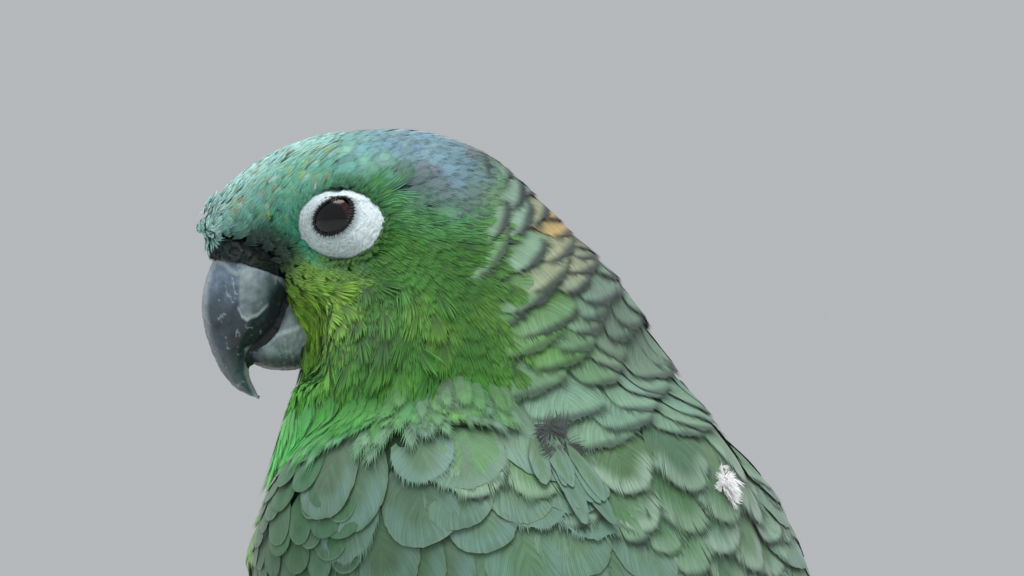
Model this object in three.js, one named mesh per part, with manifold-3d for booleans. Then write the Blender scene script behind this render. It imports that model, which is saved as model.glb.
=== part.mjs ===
// An amazon parrot at life size, still, perched on a cut length of branch that a plain display stand holds.
// Millimetres, +Z up. The origin is the centre of the stand's underside. The trunk faces -Y, the bird's left
// is +X, and the head is turned over the left shoulder. The soft body is one rounded form, a blend of named
// masses, and it is parted by flat cuts into head, neck and trunk.
import * as THREE from "three";
import { mergeVertices } from "three/addons/utils/BufferGeometryUtils.js";
import Module from "manifold-3d";

const wasm = await Module();
wasm.setup();

// ---- Driving dimensions ----
const GAP = 0.3; // left between neighbouring pieces
const HEAD_TURN = 35; // degrees, to the bird's left
const TRUNK_PITCH = 52; // degrees, the spine above the horizontal
const TRUNK_CENTRE = [0, -12, 212];
const EYES_FROM_TRUNK = [13.2, -56.8, 97.6]; // the point between the eyes, from the trunk's centre
const TAIL_ROOT = 70; // where the feathers start, behind the trunk's centre
const TAIL_LENGTH = 132; // of the middle feathers
const PERCH_RADIUS = 14;
const PERCH_LENGTH = 190;
const PERCH_DROP = 97; // the branch's axis below the trunk's centre
const PERCH_Y = -14;
const BASE_SIZE = [200, 170, 14];
const BASE_CORNER = 18;
const ROD_RADIUS = 4;
const ROD_SPREAD = 74; // each rod's distance from the middle
const FOOT_SPREAD = 23; // each foot's distance from the middle
const TARSUS_RADIUS = 4.4;
const TARSUS_LENGTH = 26;
const TOE_RADIUS = 3.5;
const EYE_RADIUS = 7.6;
const EYE_OPENING = 5.4; // half the width of the ball that shows
const RING_HALF = [10.3, 8.3]; // the bare ring's half length and half height
const BILL_HALF_WIDTH = 9.4;
const LOWER_HALF_WIDTH = 7.3;

const colours = {
  cheek: 0x3f8a34,
  nape: 0x5f8a55,
  back: 0x5d8668,
  wing: 0x4f8258,
  flight: 0x2f6a3c,
  tail: 0x3d7d3a,
  breast: 0x6f9c55,
  horn: 0x3a4048,
  cere: 0x24282a,
  eye: 0x2a1410,
  ring: 0xd6dad8,
  foot: 0x6b6c66,
  claw: 0x2b2c2e,
  bark: 0x6a5a4a,
  steel: 0xb4b6b8,
  wood: 0x3a2a20,
};

// ---- Frames: in its own frame each part faces -Y, with its left at +X and its back at +Z ----
const { degToRad, lerp } = THREE.MathUtils;
const unit = new THREE.Vector3(1, 1, 1);
const vector = (x, y, z) => new THREE.Vector3(x, y, z);
const frameAt = (place, turn) =>
  new THREE.Matrix4().compose(place, new THREE.Quaternion().setFromEuler(turn), unit);

const trunkFrame = frameAt(vector(...TRUNK_CENTRE), new THREE.Euler(degToRad(-TRUNK_PITCH), 0, 0));
const eyesPlace = vector(...TRUNK_CENTRE).add(vector(...EYES_FROM_TRUNK));
const headFrame = frameAt(eyesPlace, new THREE.Euler(0, 0, degToRad(HEAD_TURN)));
const legFrame = frameAt(vector(...TRUNK_CENTRE), new THREE.Euler());
const inHead = (x, y, z) => vector(x, y, z).applyMatrix4(headFrame);
const inTrunk = (y, z) => vector(0, y, z).applyMatrix4(trunkFrame);

// ---- Soft masses: ellipsoids blended into one rounded form ----
// blend is how far a mass melts into those before it, and tilt turns it nose down, in degrees.
function mass(frame, centre, radii, blend, tilt = 0) {
  const place = frameAt(vector(...centre), new THREE.Euler(degToRad(tilt), 0, 0));
  const toLocal = new THREE.Matrix4().multiplyMatrices(frame, place).invert();
  return { toLocal, radii: vector(...radii), blend };
}

function distanceTo(part, point) {
  const p = point.clone().applyMatrix4(part.toLocal).divide(part.radii);
  const near = p.length();
  const slope = p.divide(part.radii).length();
  return slope > 0 ? (near * (near - 1)) / slope : -Math.min(...part.radii);
}

function fieldOf(masses) {
  return (point) => {
    let d = Infinity;
    for (const part of masses) {
      const next = distanceTo(part, point);
      const h = d === Infinity ? 0 : Math.max(part.blend - Math.abs(d - next), 0) / part.blend;
      d = Math.min(d, next) - (h * h * part.blend) / 4;
    }
    return d;
  };
}

const bodyMasses = [
  mass(trunkFrame, [0, -22, 3], [54, 60, 57], 1), // breast and shoulders
  mass(trunkFrame, [0, 28, 0], [43, 62, 41], 30), // belly and rump
  mass(trunkFrame, [0, 82, 1], [23, 30, 13], 24), // tail root
  mass(trunkFrame, [0, 88, -9], [18, 36, 10], 12), // under the tail
  mass(trunkFrame, [0, -58, 12], [45, 32, 44], 24), // base of the neck
  mass(headFrame, [5, 32, -30], [33, 33, 34], 14), // neck
  mass(headFrame, [0, 14, 0], [24, 33, 21.6], 12), // skull with its feathers
  mass(headFrame, [0, 14, -20], [23, 23.5, 19], 12), // cheeks and chin
  mass(headFrame, [0, -14.5, 2.4], [12.5, 20.5, 10.8], 11, 25), // forehead over the bill
];
const body = fieldOf(bodyMasses);
// the folded wings lie on the body and, behind it, along the top of the tail
const support = fieldOf([...bodyMasses, mass(trunkFrame, [0, 128, 5], [25, 74, 7], 10)]);
const thigh = (side) =>
  fieldOf([
    mass(legFrame, [side * 22, -3, -36], [18, 23, 25], 1, 8),
    mass(legFrame, [side * 23, 5, -54], [8.5, 9.5, 15], 12), // down to the ankle
  ]);
const CERE_CENTRE = [0, -20.5, -9.4];
const cereField = fieldOf([mass(headFrame, CERE_CENTRE, [10.9, 11, 6], 1, -14)]);

// ---- Meshing ----
const REACH = 170;
const STRIDE = 3;
const HALVINGS = 12;

// Where a ray from inside a field first reaches the level.
function edge(field, start, ray, level) {
  const at = (t) => start.clone().addScaledVector(ray, t);
  let inner = 0;
  while (inner < REACH && field(at(inner + STRIDE)) <= level) inner += STRIDE;
  let outer = inner + STRIDE;
  for (let k = 0; k < HALVINGS; k++) {
    const middle = (inner + outer) / 2;
    if (field(at(middle)) > level) outer = middle;
    else inner = middle;
  }
  return at(inner);
}

// A ball whose skin is pushed out, along rays from its centre, to where the field reaches the level.
function wrap(field, centre, around, rings, level = 0) {
  const geometry = new THREE.SphereGeometry(1, around, rings);
  geometry.deleteAttribute("normal");
  geometry.deleteAttribute("uv");
  const ball = mergeVertices(geometry, 1e-5);
  const at = ball.getAttribute("position");
  for (let i = 0; i < at.count; i++) {
    const p = edge(field, centre, new THREE.Vector3().fromBufferAttribute(at, i), level);
    at.setXYZ(i, p.x, p.y, p.z);
  }
  return solid(ball);
}

// The ring where the body crosses a plane, seen from a point in it. lift tips the rays out of it, in degrees.
function section(point, normal, around, level, lift = 0) {
  const wide = vector(1, 0, 0).projectOnPlane(normal).normalize();
  const deep = new THREE.Vector3().crossVectors(normal, wide);
  const rise = degToRad(lift);
  return Array.from({ length: around }, (_, k) => {
    const a = (2 * Math.PI * k) / around;
    const flat = wide.clone().multiplyScalar(Math.cos(a)).addScaledVector(deep, Math.sin(a));
    const ray = normal.clone().multiplyScalar(Math.sin(rise)).addScaledVector(flat, Math.cos(rise));
    return edge(body, point, ray, level);
  });
}

// A closed geometry as a solid for joining and cutting, turned the right way out.
function solid(geometry) {
  const bare = geometry.clone();
  for (const name of Object.keys(bare.attributes)) if (name !== "position") bare.deleteAttribute(name);
  const merged = mergeVertices(bare, 1e-4);
  const vertProperties = merged.attributes.position.array;
  const triVerts = new Uint32Array(merged.index.array);
  const build = () => new wasm.Manifold(new wasm.Mesh({ numProp: 3, vertProperties, triVerts }));
  const made = build();
  if (made.volume() > 0) return made;
  for (let i = 0; i < triVerts.length; i += 3) {
    [triVerts[i + 1], triVerts[i + 2]] = [triVerts[i + 2], triVerts[i + 1]];
  }
  return build();
}

function geometryOf(made) {
  const mesh = made.getMesh();
  const geometry = new THREE.BufferGeometry();
  geometry.setAttribute("position", new THREE.BufferAttribute(new Float32Array(mesh.vertProperties), 3));
  geometry.setIndex(new THREE.BufferAttribute(new Uint32Array(mesh.triVerts), 1));
  geometry.computeVertexNormals();
  return geometry;
}

// A closed solid through a row of rings, each a list of points; the end rings are zipped shut.
function loft(rings) {
  const around = rings[0].length;
  const corners = rings.flat().flatMap((p) => [p.x, p.y, p.z]);
  const faces = [];
  for (let i = 0; i < rings.length - 1; i++)
    for (let k = 0; k < around; k++) {
      const a = i * around + k;
      const b = i * around + ((k + 1) % around);
      faces.push(a, b, b + around, a, b + around, a + around);
    }
  const last = (rings.length - 1) * around;
  const zip = (low, high) => {
    if (high - low < 2) return;
    faces.push(low, high, low + 1, last + low, last + low + 1, last + high);
    if (high - low > 2) faces.push(low + 1, high, high - 1, last + low + 1, last + high - 1, last + high);
    zip(low + 1, high - 1);
  };
  zip(0, around - 1);
  const geometry = new THREE.BufferGeometry();
  geometry.setAttribute("position", new THREE.Float32BufferAttribute(corners, 3));
  geometry.setIndex(faces);
  return solid(geometry);
}

// A tube along a curve. size(t) gives the section's half width, which lies along `across`, and half height.
function tube(curve, steps, around, size, across) {
  const ring = (t) => {
    const along = curve.getTangentAt(t);
    const wide = vector(...across).projectOnPlane(along).normalize();
    const high = new THREE.Vector3().crossVectors(along, wide);
    const [w, h] = size(t);
    return Array.from({ length: around }, (_, k) => {
      const a = (2 * Math.PI * k) / around;
      const p = curve.getPointAt(t);
      return p.addScaledVector(wide, w * Math.cos(a)).addScaledVector(high, h * Math.sin(a));
    });
  };
  return loft(Array.from({ length: steps + 1 }, (_, i) => ring(i / steps)));
}

// ---- Cuts: flat planes, each leaving a thin gap ----
function cut(point, normal) {
  const n = normal.clone().normalize();
  return { point, n, offset: n.dot(point) };
}
const above = (made, { n, offset }) => made.trimByPlane([...n], offset + GAP / 2);
const below = (made, { n, offset }) => made.trimByPlane([...n.clone().negate()], GAP / 2 - offset);
const largest = (made) => made.decompose().sort((a, b) => b.volume() - a.volume())[0];

const spine = vector(0, -1, 0).transformDirection(trunkFrame);
const tailEnd = cut(inTrunk(121, -6), spine);
const rump = cut(inTrunk(95, -1), spine);
const collar = cut(vector(0, -42, 266), vector(0, -0.3, 1)); // trunk from neck
const chinward = vector(0, -0.65, 0.76).transformDirection(headFrame);
const throat = cut(inHead(0, 18, -18), chinward); // neck from head

// ---- The bill, between outlines in the head's middle plane ----
// Points are [forward, up] from the point between the eyes.
const culmen = [[29, -9], [31.9, -16], [32.5, -23], [31.1, -30], [28, -37.2], [24.2, -41.8], [18.3, -44.6]];
const tomium = [[9, -16], [11.8, -21], [12.7, -26], [17, -30.4], [20.6, -32.8], [21, -38], [18.3, -44.2]];
const keel = [[-5, -29.5], [4, -35.4], [11, -37.3], [16.5, -36.9], [19.6, -35.6], [20.8, -33.4]];
const lowerRim = [[-5, -20], [4, -17.4], [9.4, -17.8], [12.1, -23], [14.4, -28.4], [18, -31.5], [20.3, -32]];
const BILL_TIP = 0.3;

function outline(points) {
  return new THREE.CatmullRomCurve3(points.map(([forward, up]) => vector(0, -forward, up)));
}

// Ribs run from one outline to the other. halfWidth(t) swells them sideways, and grow makes it all larger.
function ribbed(front, back, steps, around, halfWidth, grow) {
  const [outer, inner] = [outline(front), outline(back)];
  const ring = (t) => {
    const [a, b] = [outer.getPoint(t), inner.getPoint(t)];
    const middle = a.clone().add(b).multiplyScalar(0.5);
    const reach = a.clone().sub(b).multiplyScalar(0.5);
    const stretch = 1 + grow / Math.max(reach.length(), 2 * BILL_TIP);
    return Array.from({ length: around }, (_, k) => {
      const turn = (2 * Math.PI * k) / around;
      const p = middle.clone().addScaledVector(reach, Math.cos(turn) * stretch);
      p.x = Math.sin(turn) * (halfWidth(t) + grow);
      return p.applyMatrix4(headFrame);
    });
  };
  return loft(Array.from({ length: steps + 1 }, (_, i) => ring(i / steps)));
}

// the upper bill narrows to a point, and the lower one stays broad and blunt
const upperWidth = (t) => BILL_HALF_WIDTH * (1 - t ** 1.9) ** 0.9 + BILL_TIP;
const lowerWidth = (t) => LOWER_HALF_WIDTH * (1 - 0.34 * t * t);
const upperBill = (grow) => ribbed(culmen, tomium, 14, 14, upperWidth, grow);
const lowerBill = (grow) => ribbed(keel, lowerRim, 8, 12, lowerWidth, grow);
const mouth = upperBill(GAP).add(lowerBill(GAP));

// ---- The group, and how a piece joins it ----
const sides = [["left", 1], ["right", -1]];
const group = new THREE.Group();
function add(name, made, colour, roughness = 0.8, metalness = 0) {
  const material = new THREE.MeshStandardMaterial({ color: colours[colour], roughness, metalness });
  const mesh = new THREE.Mesh(geometryOf(made), material);
  mesh.name = name;
  group.add(mesh);
}

// ---- Trunk, neck and head ----
const BODY_AROUND = 24;
const HEAD_RINGS = 12;
const HEAD_POLE = 85; // degrees up from the throat's cut

// Rings in planes that turn evenly from one cut to another, half a gap short of each.
function between(from, to, steps, level) {
  const start = from.point.clone().addScaledVector(from.n, GAP / 2);
  const end = to.point.clone().addScaledVector(to.n, -GAP / 2);
  return Array.from({ length: steps + 1 }, (_, i) => {
    const n = from.n.clone().lerp(to.n, i / steps).normalize();
    return section(start.clone().lerp(end, i / steps), n, BODY_AROUND, level);
  });
}

const wrapTrunk = (level) => loft([...between(tailEnd, rump, 3, level), ...between(rump, collar, 12, level)]);
const wrapNeck = () => loft(between(collar, throat, 6, 0));
function wrapHead(level) {
  const start = throat.point.clone().addScaledVector(throat.n, GAP / 2);
  const ring = (lift) => section(start, throat.n, BODY_AROUND, level, lift);
  return loft(Array.from({ length: HEAD_RINGS + 1 }, (_, i) => ring((HEAD_POLE * i) / HEAD_RINGS)));
}

add("trunk", wrapTrunk(0), "back");
add("neck", largest(wrapNeck().subtract(mouth)), "nape");

// An eyeball that looks out of the skin, and round it a flat ring of bare skin let into the head.
const SKIN_STANDS = 0.5;
const RING_DEPTH = 3.4;
const RING_SHIFT = [0, 1.5, -1.7]; // the ring's middle lies behind and below the eye's
const EYE_STEP = 0.05;
function eyeParts(side) {
  let reach = 0;
  while (body(inHead(side * reach, 0, 0)) < 0) reach += EYE_STEP;
  const slope = (x, y, z) => body(inHead(side * reach + x, y, z)) - body(inHead(side * reach - x, -y, -z));
  const outward = vector(slope(1, 0, 0), slope(0, 1, 0), slope(0, 0, 1)).normalize();
  const skin = vector(side * reach, 0, 0);
  const sunk = Math.sqrt(EYE_RADIUS ** 2 - EYE_OPENING ** 2) - SKIN_STANDS;
  const centre = skin.clone().addScaledVector(outward, -sunk);
  const ball = (radius) => {
    const sphere = new THREE.SphereGeometry(radius, 14, 9).translate(...centre);
    return solid(sphere.applyMatrix4(headFrame));
  };
  const turn = new THREE.Quaternion().setFromUnitVectors(vector(side, 0, 0), outward);
  const plug = (grow, depth) => {
    const plate = new THREE.CylinderGeometry(1, 1, 2 * RING_DEPTH, 20).rotateZ(Math.PI / 2);
    plate.scale(1, RING_HALF[0] + grow, RING_HALF[1] + grow).translate(side * (RING_DEPTH - depth), 0, 0);
    plate.applyQuaternion(turn).translate(...skin.clone().add(vector(...RING_SHIFT)));
    return solid(plate.applyMatrix4(headFrame));
  };
  return { ball, plug };
}

let head = wrapHead(0).subtract(mouth);
const proudSkin = wrapHead(SKIN_STANDS);
for (const [word, side] of sides) {
  const { ball, plug } = eyeParts(side);
  const socket = ball(EYE_RADIUS + GAP);
  head = head.subtract(socket).subtract(plug(GAP, RING_DEPTH + GAP));
  add(`eye_${word}`, ball(EYE_RADIUS), "eye", 0.1);
  add(`eye_ring_${word}`, largest(plug(0, RING_DEPTH).intersect(proudSkin).subtract(socket)), "ring", 0.7);
}

const cere = (level) => wrap(cereField, inHead(...CERE_CENTRE), 16, 10, level);
add("head", largest(head.subtract(cere(GAP))), "cheek");
add("cere", largest(cere(0).subtract(upperBill(GAP))), "cere", 0.6);
add("bill_upper", largest(upperBill(0).subtract(lowerBill(GAP))), "horn", 0.45);
add("bill_lower", lowerBill(0), "horn", 0.45);

// ---- Tail: twelve blades in a closed fan, laid like tiles, the middle pair on top ----
const PAIRS = 6;
const BLADE_THICKNESS = 1.3;
const BLADE_WIDTH = 25;
const BLADE_DROP = 1; // each pair lies this much lower than the last
const MIDDLE_GAP = 0.5; // under the middle pair
const FAN_TURN = 1.2; // degrees between pairs
const FAN_SPREAD = 1.6; // between their roots

function blade(length, width) {
  const half = width / 2;
  const shoulder = length - half * 1.2;
  const shape = new THREE.Shape();
  shape.moveTo(-half * 0.4, 0);
  shape.quadraticCurveTo(-half, length * 0.35, -half, shoulder);
  shape.quadraticCurveTo(-half, length, 0, length);
  shape.quadraticCurveTo(half, length, half, shoulder);
  shape.quadraticCurveTo(half, length * 0.35, half * 0.4, 0);
  shape.closePath();
  return new THREE.ExtrudeGeometry(shape, { depth: BLADE_THICKNESS, bevelEnabled: false, curveSegments: 3 });
}

function tailFeather(pair, side) {
  // each pair is shorter than the last, the outer ones more so
  const length = TAIL_LENGTH - 1.5 * pair - 0.8 * pair * pair;
  const feather = blade(length, BLADE_WIDTH);
  feather.rotateZ(-side * degToRad(1 + FAN_TURN * pair));
  const drop = BLADE_DROP * pair + (pair > 0 ? MIDDLE_GAP : 0);
  feather.translate(side * (3 + FAN_SPREAD * pair), TAIL_ROOT, -drop);
  return solid(feather.applyMatrix4(trunkFrame));
}

const trunkClear = wrapTrunk(GAP);
const tailNodes = { tail_middle: tailFeather(0, 1).add(tailFeather(0, -1)) };
for (const [word, side] of sides) {
  const blades = Array.from({ length: PAIRS - 1 }, (_, i) => tailFeather(i + 1, side));
  const half = blades.reduce((a, b) => a.add(b));
  // the two halves part along the middle
  tailNodes[`tail_${word}`] = half.trimByPlane([side, 0, 0], GAP);
}
for (const [name, made] of Object.entries(tailNodes)) {
  add(name, largest(made.subtract(trunkClear)), "tail", 0.6);
}

// ---- Wings: each a curved shell laid on the body and, behind it, along the tail ----
// Rows run from the bend to the wing's tip: [along the spine, upper edge, lower edge, thickness], where an
// edge is an angle round the trunk, from the back at 0 to the belly at 180.
const wingRows = [
  [-57, 88, 104, 2],
  [-52, 76, 120, 8],
  [-42, 62, 133, 12],
  [-26, 45, 139, 13],
  [-6, 34, 137, 13],
  [18, 26, 128, 12.6],
  [44, 20, 115, 11.8],
  [70, 13, 101, 10.8],
  [94, 7, 88, 8],
  [118, 3, 74, 5.5],
  [140, 3, 58, 4],
  [156, 7, 42, 2.6],
  [163, 14, 30, 1.4],
];
const WING_STATIONS = 22;
const WING_CROWD = 1.25; // stations crowd towards the bend, which is rounder
const WING_AROUND = 8;
const WING_LIFT = 1; // clear of the body under it
const WING_RIM = 1; // thickness at its rim

// The point at a height above the body, out along an angle round the trunk.
function onBody(side, y, angle, height) {
  const a = degToRad(angle);
  const ray = vector(side * Math.sin(a), 0, Math.cos(a)).transformDirection(trunkFrame);
  return edge(support, inTrunk(y, 0), ray, height);
}

function wing(side) {
  const rows = new THREE.CubicInterpolant(
    wingRows.map(([y]) => y),
    wingRows.flatMap(([, ...row]) => row),
    3,
  );
  // fullest a little below its middle, where the arm lies
  const swell = (v) => Math.max(Math.sin(Math.PI * v ** 1.15), 0) ** 0.7;
  const ring = (y) => {
    const [upper, lower, thickness] = [...rows.evaluate(y)];
    const row = (height) =>
      Array.from({ length: WING_AROUND + 1 }, (_, k) => {
        const v = k / WING_AROUND;
        return onBody(side, y, lerp(upper, lower, v), height(v));
      });
    const outer = row((v) => WING_LIFT + WING_RIM + (thickness - WING_RIM) * swell(v));
    const inner = row(() => WING_LIFT);
    return [...outer, ...inner.reverse()];
  };
  const [first, last] = [wingRows[0][0], wingRows.at(-1)[0]];
  const station = (i) => lerp(first, last, (i / WING_STATIONS) ** WING_CROWD);
  return loft(Array.from({ length: WING_STATIONS + 1 }, (_, i) => ring(station(i))));
}

const acrossWing = (y, lean) => cut(inTrunk(y, 10), vector(0, 1, lean).transformDirection(trunkFrame));
const covertEdge = acrossWing(6, 0.35);
const handEdge = acrossWing(88, -0.5);
for (const [word, side] of sides) {
  const whole = wing(side).trimByPlane([side, 0, 0], GAP);
  add(`wing_${word}_coverts`, below(whole, covertEdge), "wing", 0.7);
  add(`wing_${word}_secondaries`, below(above(whole, covertEdge), handEdge), "flight", 0.6);
  add(`wing_${word}_primaries`, above(whole, handEdge), "flight", 0.6);
}

// ---- Legs and feet: two toes forward, two back, round the branch ----
const perchZ = TRUNK_CENTRE[2] - PERCH_DROP;
const gripRadius = PERCH_RADIUS + TOE_RADIUS + GAP; // of the toes' middle line
const PALM_RADIUS = 5.6;
const PALM_LIFT = 1.4;
const ANKLE_BACK = 15; // the ankle is behind the branch's middle
const TOE_START = 10; // degrees from the top of the branch
const CLAW_TURN = 44; // degrees of the branch that a toe's claw reaches on
const CLAW_GAP = 4; // degrees between a toe's end and its claw
const HIP = [22, 0, -42]; // from the trunk's centre
const toes = [
  { number: 2, inward: 3.4, spread: -3, turn: 92 }, // inner front
  { number: 3, inward: -3.4, spread: 4, turn: 122 }, // outer front
  { number: 1, inward: 3.6, spread: -4, turn: -70 }, // inner back
  { number: 4, inward: -3.6, spread: 5, turn: -112 }, // outer back
];

// A curl round the branch. Angles run from straight up, positive forwards.
const CURL_POINTS = 9;
function curl(x, spread, from, to, startRadius, endRadius) {
  const points = Array.from({ length: CURL_POINTS }, (_, i) => {
    const t = i / (CURL_POINTS - 1);
    const a = degToRad(lerp(from, to, t));
    const radius = lerp(startRadius, endRadius, t);
    return vector(x + spread * t, PERCH_Y - radius * Math.sin(a), perchZ + radius * Math.cos(a));
  });
  return new THREE.CatmullRomCurve3(points);
}

function addLeg(word, side) {
  const x = side * FOOT_SPREAD;
  const palm = vector(x, PERCH_Y, perchZ + gripRadius + PALM_LIFT);
  const rise = Math.sqrt(TARSUS_LENGTH ** 2 - ANKLE_BACK ** 2);
  const ankle = palm.clone().add(vector(0, ANKLE_BACK, rise));
  const shin = new THREE.CatmullRomCurve3([ankle, ankle.clone().lerp(palm, 0.5).add(vector(0, 1, 0)), palm]);
  const shank = (grow) => tube(shin, 4, 8, () => [TARSUS_RADIUS + grow, TARSUS_RADIUS + grow], [1, 0, 0]);
  const pad = (grow) => {
    const ball = new THREE.SphereGeometry(PALM_RADIUS + grow, 8, 6).scale(1.35, 1, 0.72);
    return solid(ball.translate(...palm));
  };
  const hip = vector(side * HIP[0], HIP[1], HIP[2]).applyMatrix4(legFrame);
  const trousers = wrap(thigh(side), hip, 14, 10);
  add(`thigh_${word}`, largest(trousers.subtract(trunkClear).subtract(shank(GAP))), "breast");
  add(`tarsus_${word}`, largest(shank(0).add(pad(0)).subtract(trunkClear)), "foot", 0.75);
  const palmClear = pad(GAP).add(shank(GAP));
  for (const { number, inward, spread, turn } of toes) {
    const way = Math.sign(turn);
    const start = x - side * inward;
    const path = curl(start, side * spread, TOE_START * way, turn, gripRadius, gripRadius);
    // three soft pads swell along a toe that thins towards its claw
    const swell = (t) => TOE_RADIUS * (1 - 0.22 * t) * (1 + 0.06 * Math.sin(t * Math.PI * 6));
    const digit = tube(path, 8, 6, (t) => [swell(t), swell(t)], [1, 0, 0]);
    add(`toe_${number}_${word}`, largest(digit.subtract(palmClear)), "foot", 0.75);
    const [from, to] = [turn + way * CLAW_GAP, turn + way * CLAW_TURN];
    const hook = curl(start + side * spread, side * 1.2, from, to, gripRadius + 0.4, PERCH_RADIUS + 1.1);
    const claw = tube(hook, 6, 6, (t) => [1.9 * (1 - t) + 0.25, 2.3 * (1 - t) + 0.3], [1, 0, 0]);
    add(`claw_${number}_${word}`, claw, "claw", 0.4);
  }
}
for (const [word, side] of sides) addLeg(word, side);

// ---- Branch and stand ----
const branchLine = new THREE.LineCurve3(
  vector(-PERCH_LENGTH / 2, PERCH_Y, perchZ),
  vector(PERCH_LENGTH / 2, PERCH_Y, perchZ),
);
// a little thinner than the toes' grip, with low swellings where twigs once grew
const knot = (t, at, width, height) => height * Math.exp(-(((t - at) / width) ** 2));
const girth = (t) =>
  PERCH_RADIUS - 0.5 + knot(t, 0.04, 0.05, 0.6) + knot(t, 0.5, 0.06, 0.4) + knot(t, 0.93, 0.05, 0.9);
const branch = (grow) => tube(branchLine, 12, 14, (t) => [girth(t) + grow, girth(t) + grow], [0, 0, 1]);
add("perch", branch(0), "bark", 0.9);

for (const [word, side] of sides) {
  const [low, high] = [BASE_SIZE[2] + GAP, perchZ];
  const rod = new THREE.CylinderGeometry(ROD_RADIUS, ROD_RADIUS, high - low, 16);
  rod.rotateX(Math.PI / 2).translate(side * ROD_SPREAD, PERCH_Y, (low + high) / 2);
  add(`stand_rod_${word}`, largest(solid(rod).subtract(branch(GAP))), "steel", 0.35, 1);
}

const [baseX, baseY, baseZ] = BASE_SIZE;
const plan = new THREE.Shape();
for (const [x, y, quarter] of [[1, -1, -1], [1, 1, 0], [-1, 1, 1], [-1, -1, 2]]) {
  const from = (quarter * Math.PI) / 2;
  const middle = [x * (baseX / 2 - BASE_CORNER), y * (baseY / 2 - BASE_CORNER)];
  plan.absarc(...middle, BASE_CORNER, from, from + Math.PI / 2);
}
const board = new THREE.ExtrudeGeometry(plan, { depth: baseZ, bevelEnabled: false, curveSegments: 5 });
add("stand_base", solid(board), "wood", 0.5);

export default group;
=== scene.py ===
"""A still, life-size amazon parrot on a cut branch: its skin, feathers, bill, eyes, feet and stand.

Everything is in metres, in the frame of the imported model. Two frames of the bird's own are used for
anatomy: HEAD, from the point between the eyes, and TRUNK, from the trunk's centre. In both, a part faces
-Y, its left is +X and its back is +Z, and places in them are given in millimetres.
"""
import functools
import math

import bpy
import numpy as np
from mathutils import Matrix, Vector
from mathutils.bvhtree import BVHTree
from mathutils.kdtree import KDTree


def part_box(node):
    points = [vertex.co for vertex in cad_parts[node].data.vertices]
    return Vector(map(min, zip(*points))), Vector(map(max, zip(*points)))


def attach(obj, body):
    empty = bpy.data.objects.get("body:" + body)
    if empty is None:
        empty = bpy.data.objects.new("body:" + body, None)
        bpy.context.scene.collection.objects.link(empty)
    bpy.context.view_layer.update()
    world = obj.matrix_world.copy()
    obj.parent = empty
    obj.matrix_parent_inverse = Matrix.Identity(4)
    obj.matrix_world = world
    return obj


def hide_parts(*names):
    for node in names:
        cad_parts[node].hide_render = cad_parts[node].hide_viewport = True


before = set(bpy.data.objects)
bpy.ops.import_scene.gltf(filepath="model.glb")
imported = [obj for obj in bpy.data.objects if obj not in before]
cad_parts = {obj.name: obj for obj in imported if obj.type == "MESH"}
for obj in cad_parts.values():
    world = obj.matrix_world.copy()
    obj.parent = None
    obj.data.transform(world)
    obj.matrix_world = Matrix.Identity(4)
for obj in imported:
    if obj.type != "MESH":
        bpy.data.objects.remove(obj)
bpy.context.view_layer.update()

MM = 0.001
SIDES = ("left", "right")
BODY = "root"

# ---- The bird's frames ----
TRUNK_CENTRE = Vector((0.0, -0.012, 0.212))
TRUNK_PITCH = math.radians(52)
EYES = Vector((0.0132, -0.0688, 0.3096))
HEAD_TURN = math.radians(35)

TRUNK = Matrix.Translation(TRUNK_CENTRE) @ Matrix.Rotation(-TRUNK_PITCH, 4, "X")
HEAD = Matrix.Translation(EYES) @ Matrix.Rotation(HEAD_TURN, 4, "Z")


def hand_of(side):
    """Which way along X a side of the bird lies."""
    return 1 if side == "left" else -1


def seen_from(home, points):
    """Points of the whole model in millimetres of one of the bird's frames."""
    turn = np.array(home.inverted())
    return (points @ turn[:3, :3].T + turn[:3, 3]) / MM


def placed(home, points_mm):
    """Points in millimetres of one of the bird's frames, in the whole model."""
    turn = np.array(home)
    return points_mm * MM @ turn[:3, :3].T + turn[:3, 3]


def place_in(home, *at_mm):
    return np.array(home @ (Vector(at_mm) * MM))


def direction_in(home, *way):
    return np.array((home.to_3x3() @ Vector(way)).normalized())


def smooth(low, high, x):
    t = np.clip((x - low) / (high - low), 0.0, 1.0)
    return t * t * (3 - 2 * t)


def unit(v):
    return v / np.maximum(np.linalg.norm(v, axis=-1, keepdims=True), 1e-12)


def mix(a, b, t):
    t = np.asarray(t)[..., None]
    return a * (1 - t) + b * t


def layered(tint, *coats):
    """A colour with others laid over it in turn, each with its own strength from place to place."""
    for over, strength in coats:
        tint = mix(tint, over, strength)
    return tint


def alike(value, count):
    return np.repeat(value[None], count, 0)


RIPPLES = 20


def ripple(points, size, seed):
    """Smooth chance relief over space, mostly within -1 and 1, with bumps of about one size."""
    rng = np.random.default_rng(seed)
    ways = unit(rng.normal(size=(RIPPLES, 3))) / (size * rng.uniform(0.7, 1.6, RIPPLES))[:, None]
    phases = points @ ways.T * 2 * math.pi + rng.uniform(0, 2 * math.pi, RIPPLES)
    return np.sin(phases).sum(1) / math.sqrt(RIPPLES)


def from_line(points, line):
    """Distance of points in a plane to a line of straight stretches."""
    line = np.array(line, float)
    best = np.full(len(points), np.inf)
    for a, b in zip(line[:-1], line[1:]):
        along = np.clip(((points - a) @ (b - a)) / ((b - a) @ (b - a)), 0, 1)
        best = np.minimum(best, np.linalg.norm(points - a - along[:, None] * (b - a), axis=1))
    return best


def colour(hex_code):
    """An sRGB hex colour as the linear values that Blender mixes."""
    srgb = [int(hex_code[i : i + 2], 16) / 255 for i in (1, 3, 5)]
    return np.array([c / 12.92 if c <= 0.04045 else ((c + 0.055) / 1.055) ** 2.4 for c in srgb])


def colours(hex_codes):
    return [colour(code) for code in hex_codes.split()]


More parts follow.
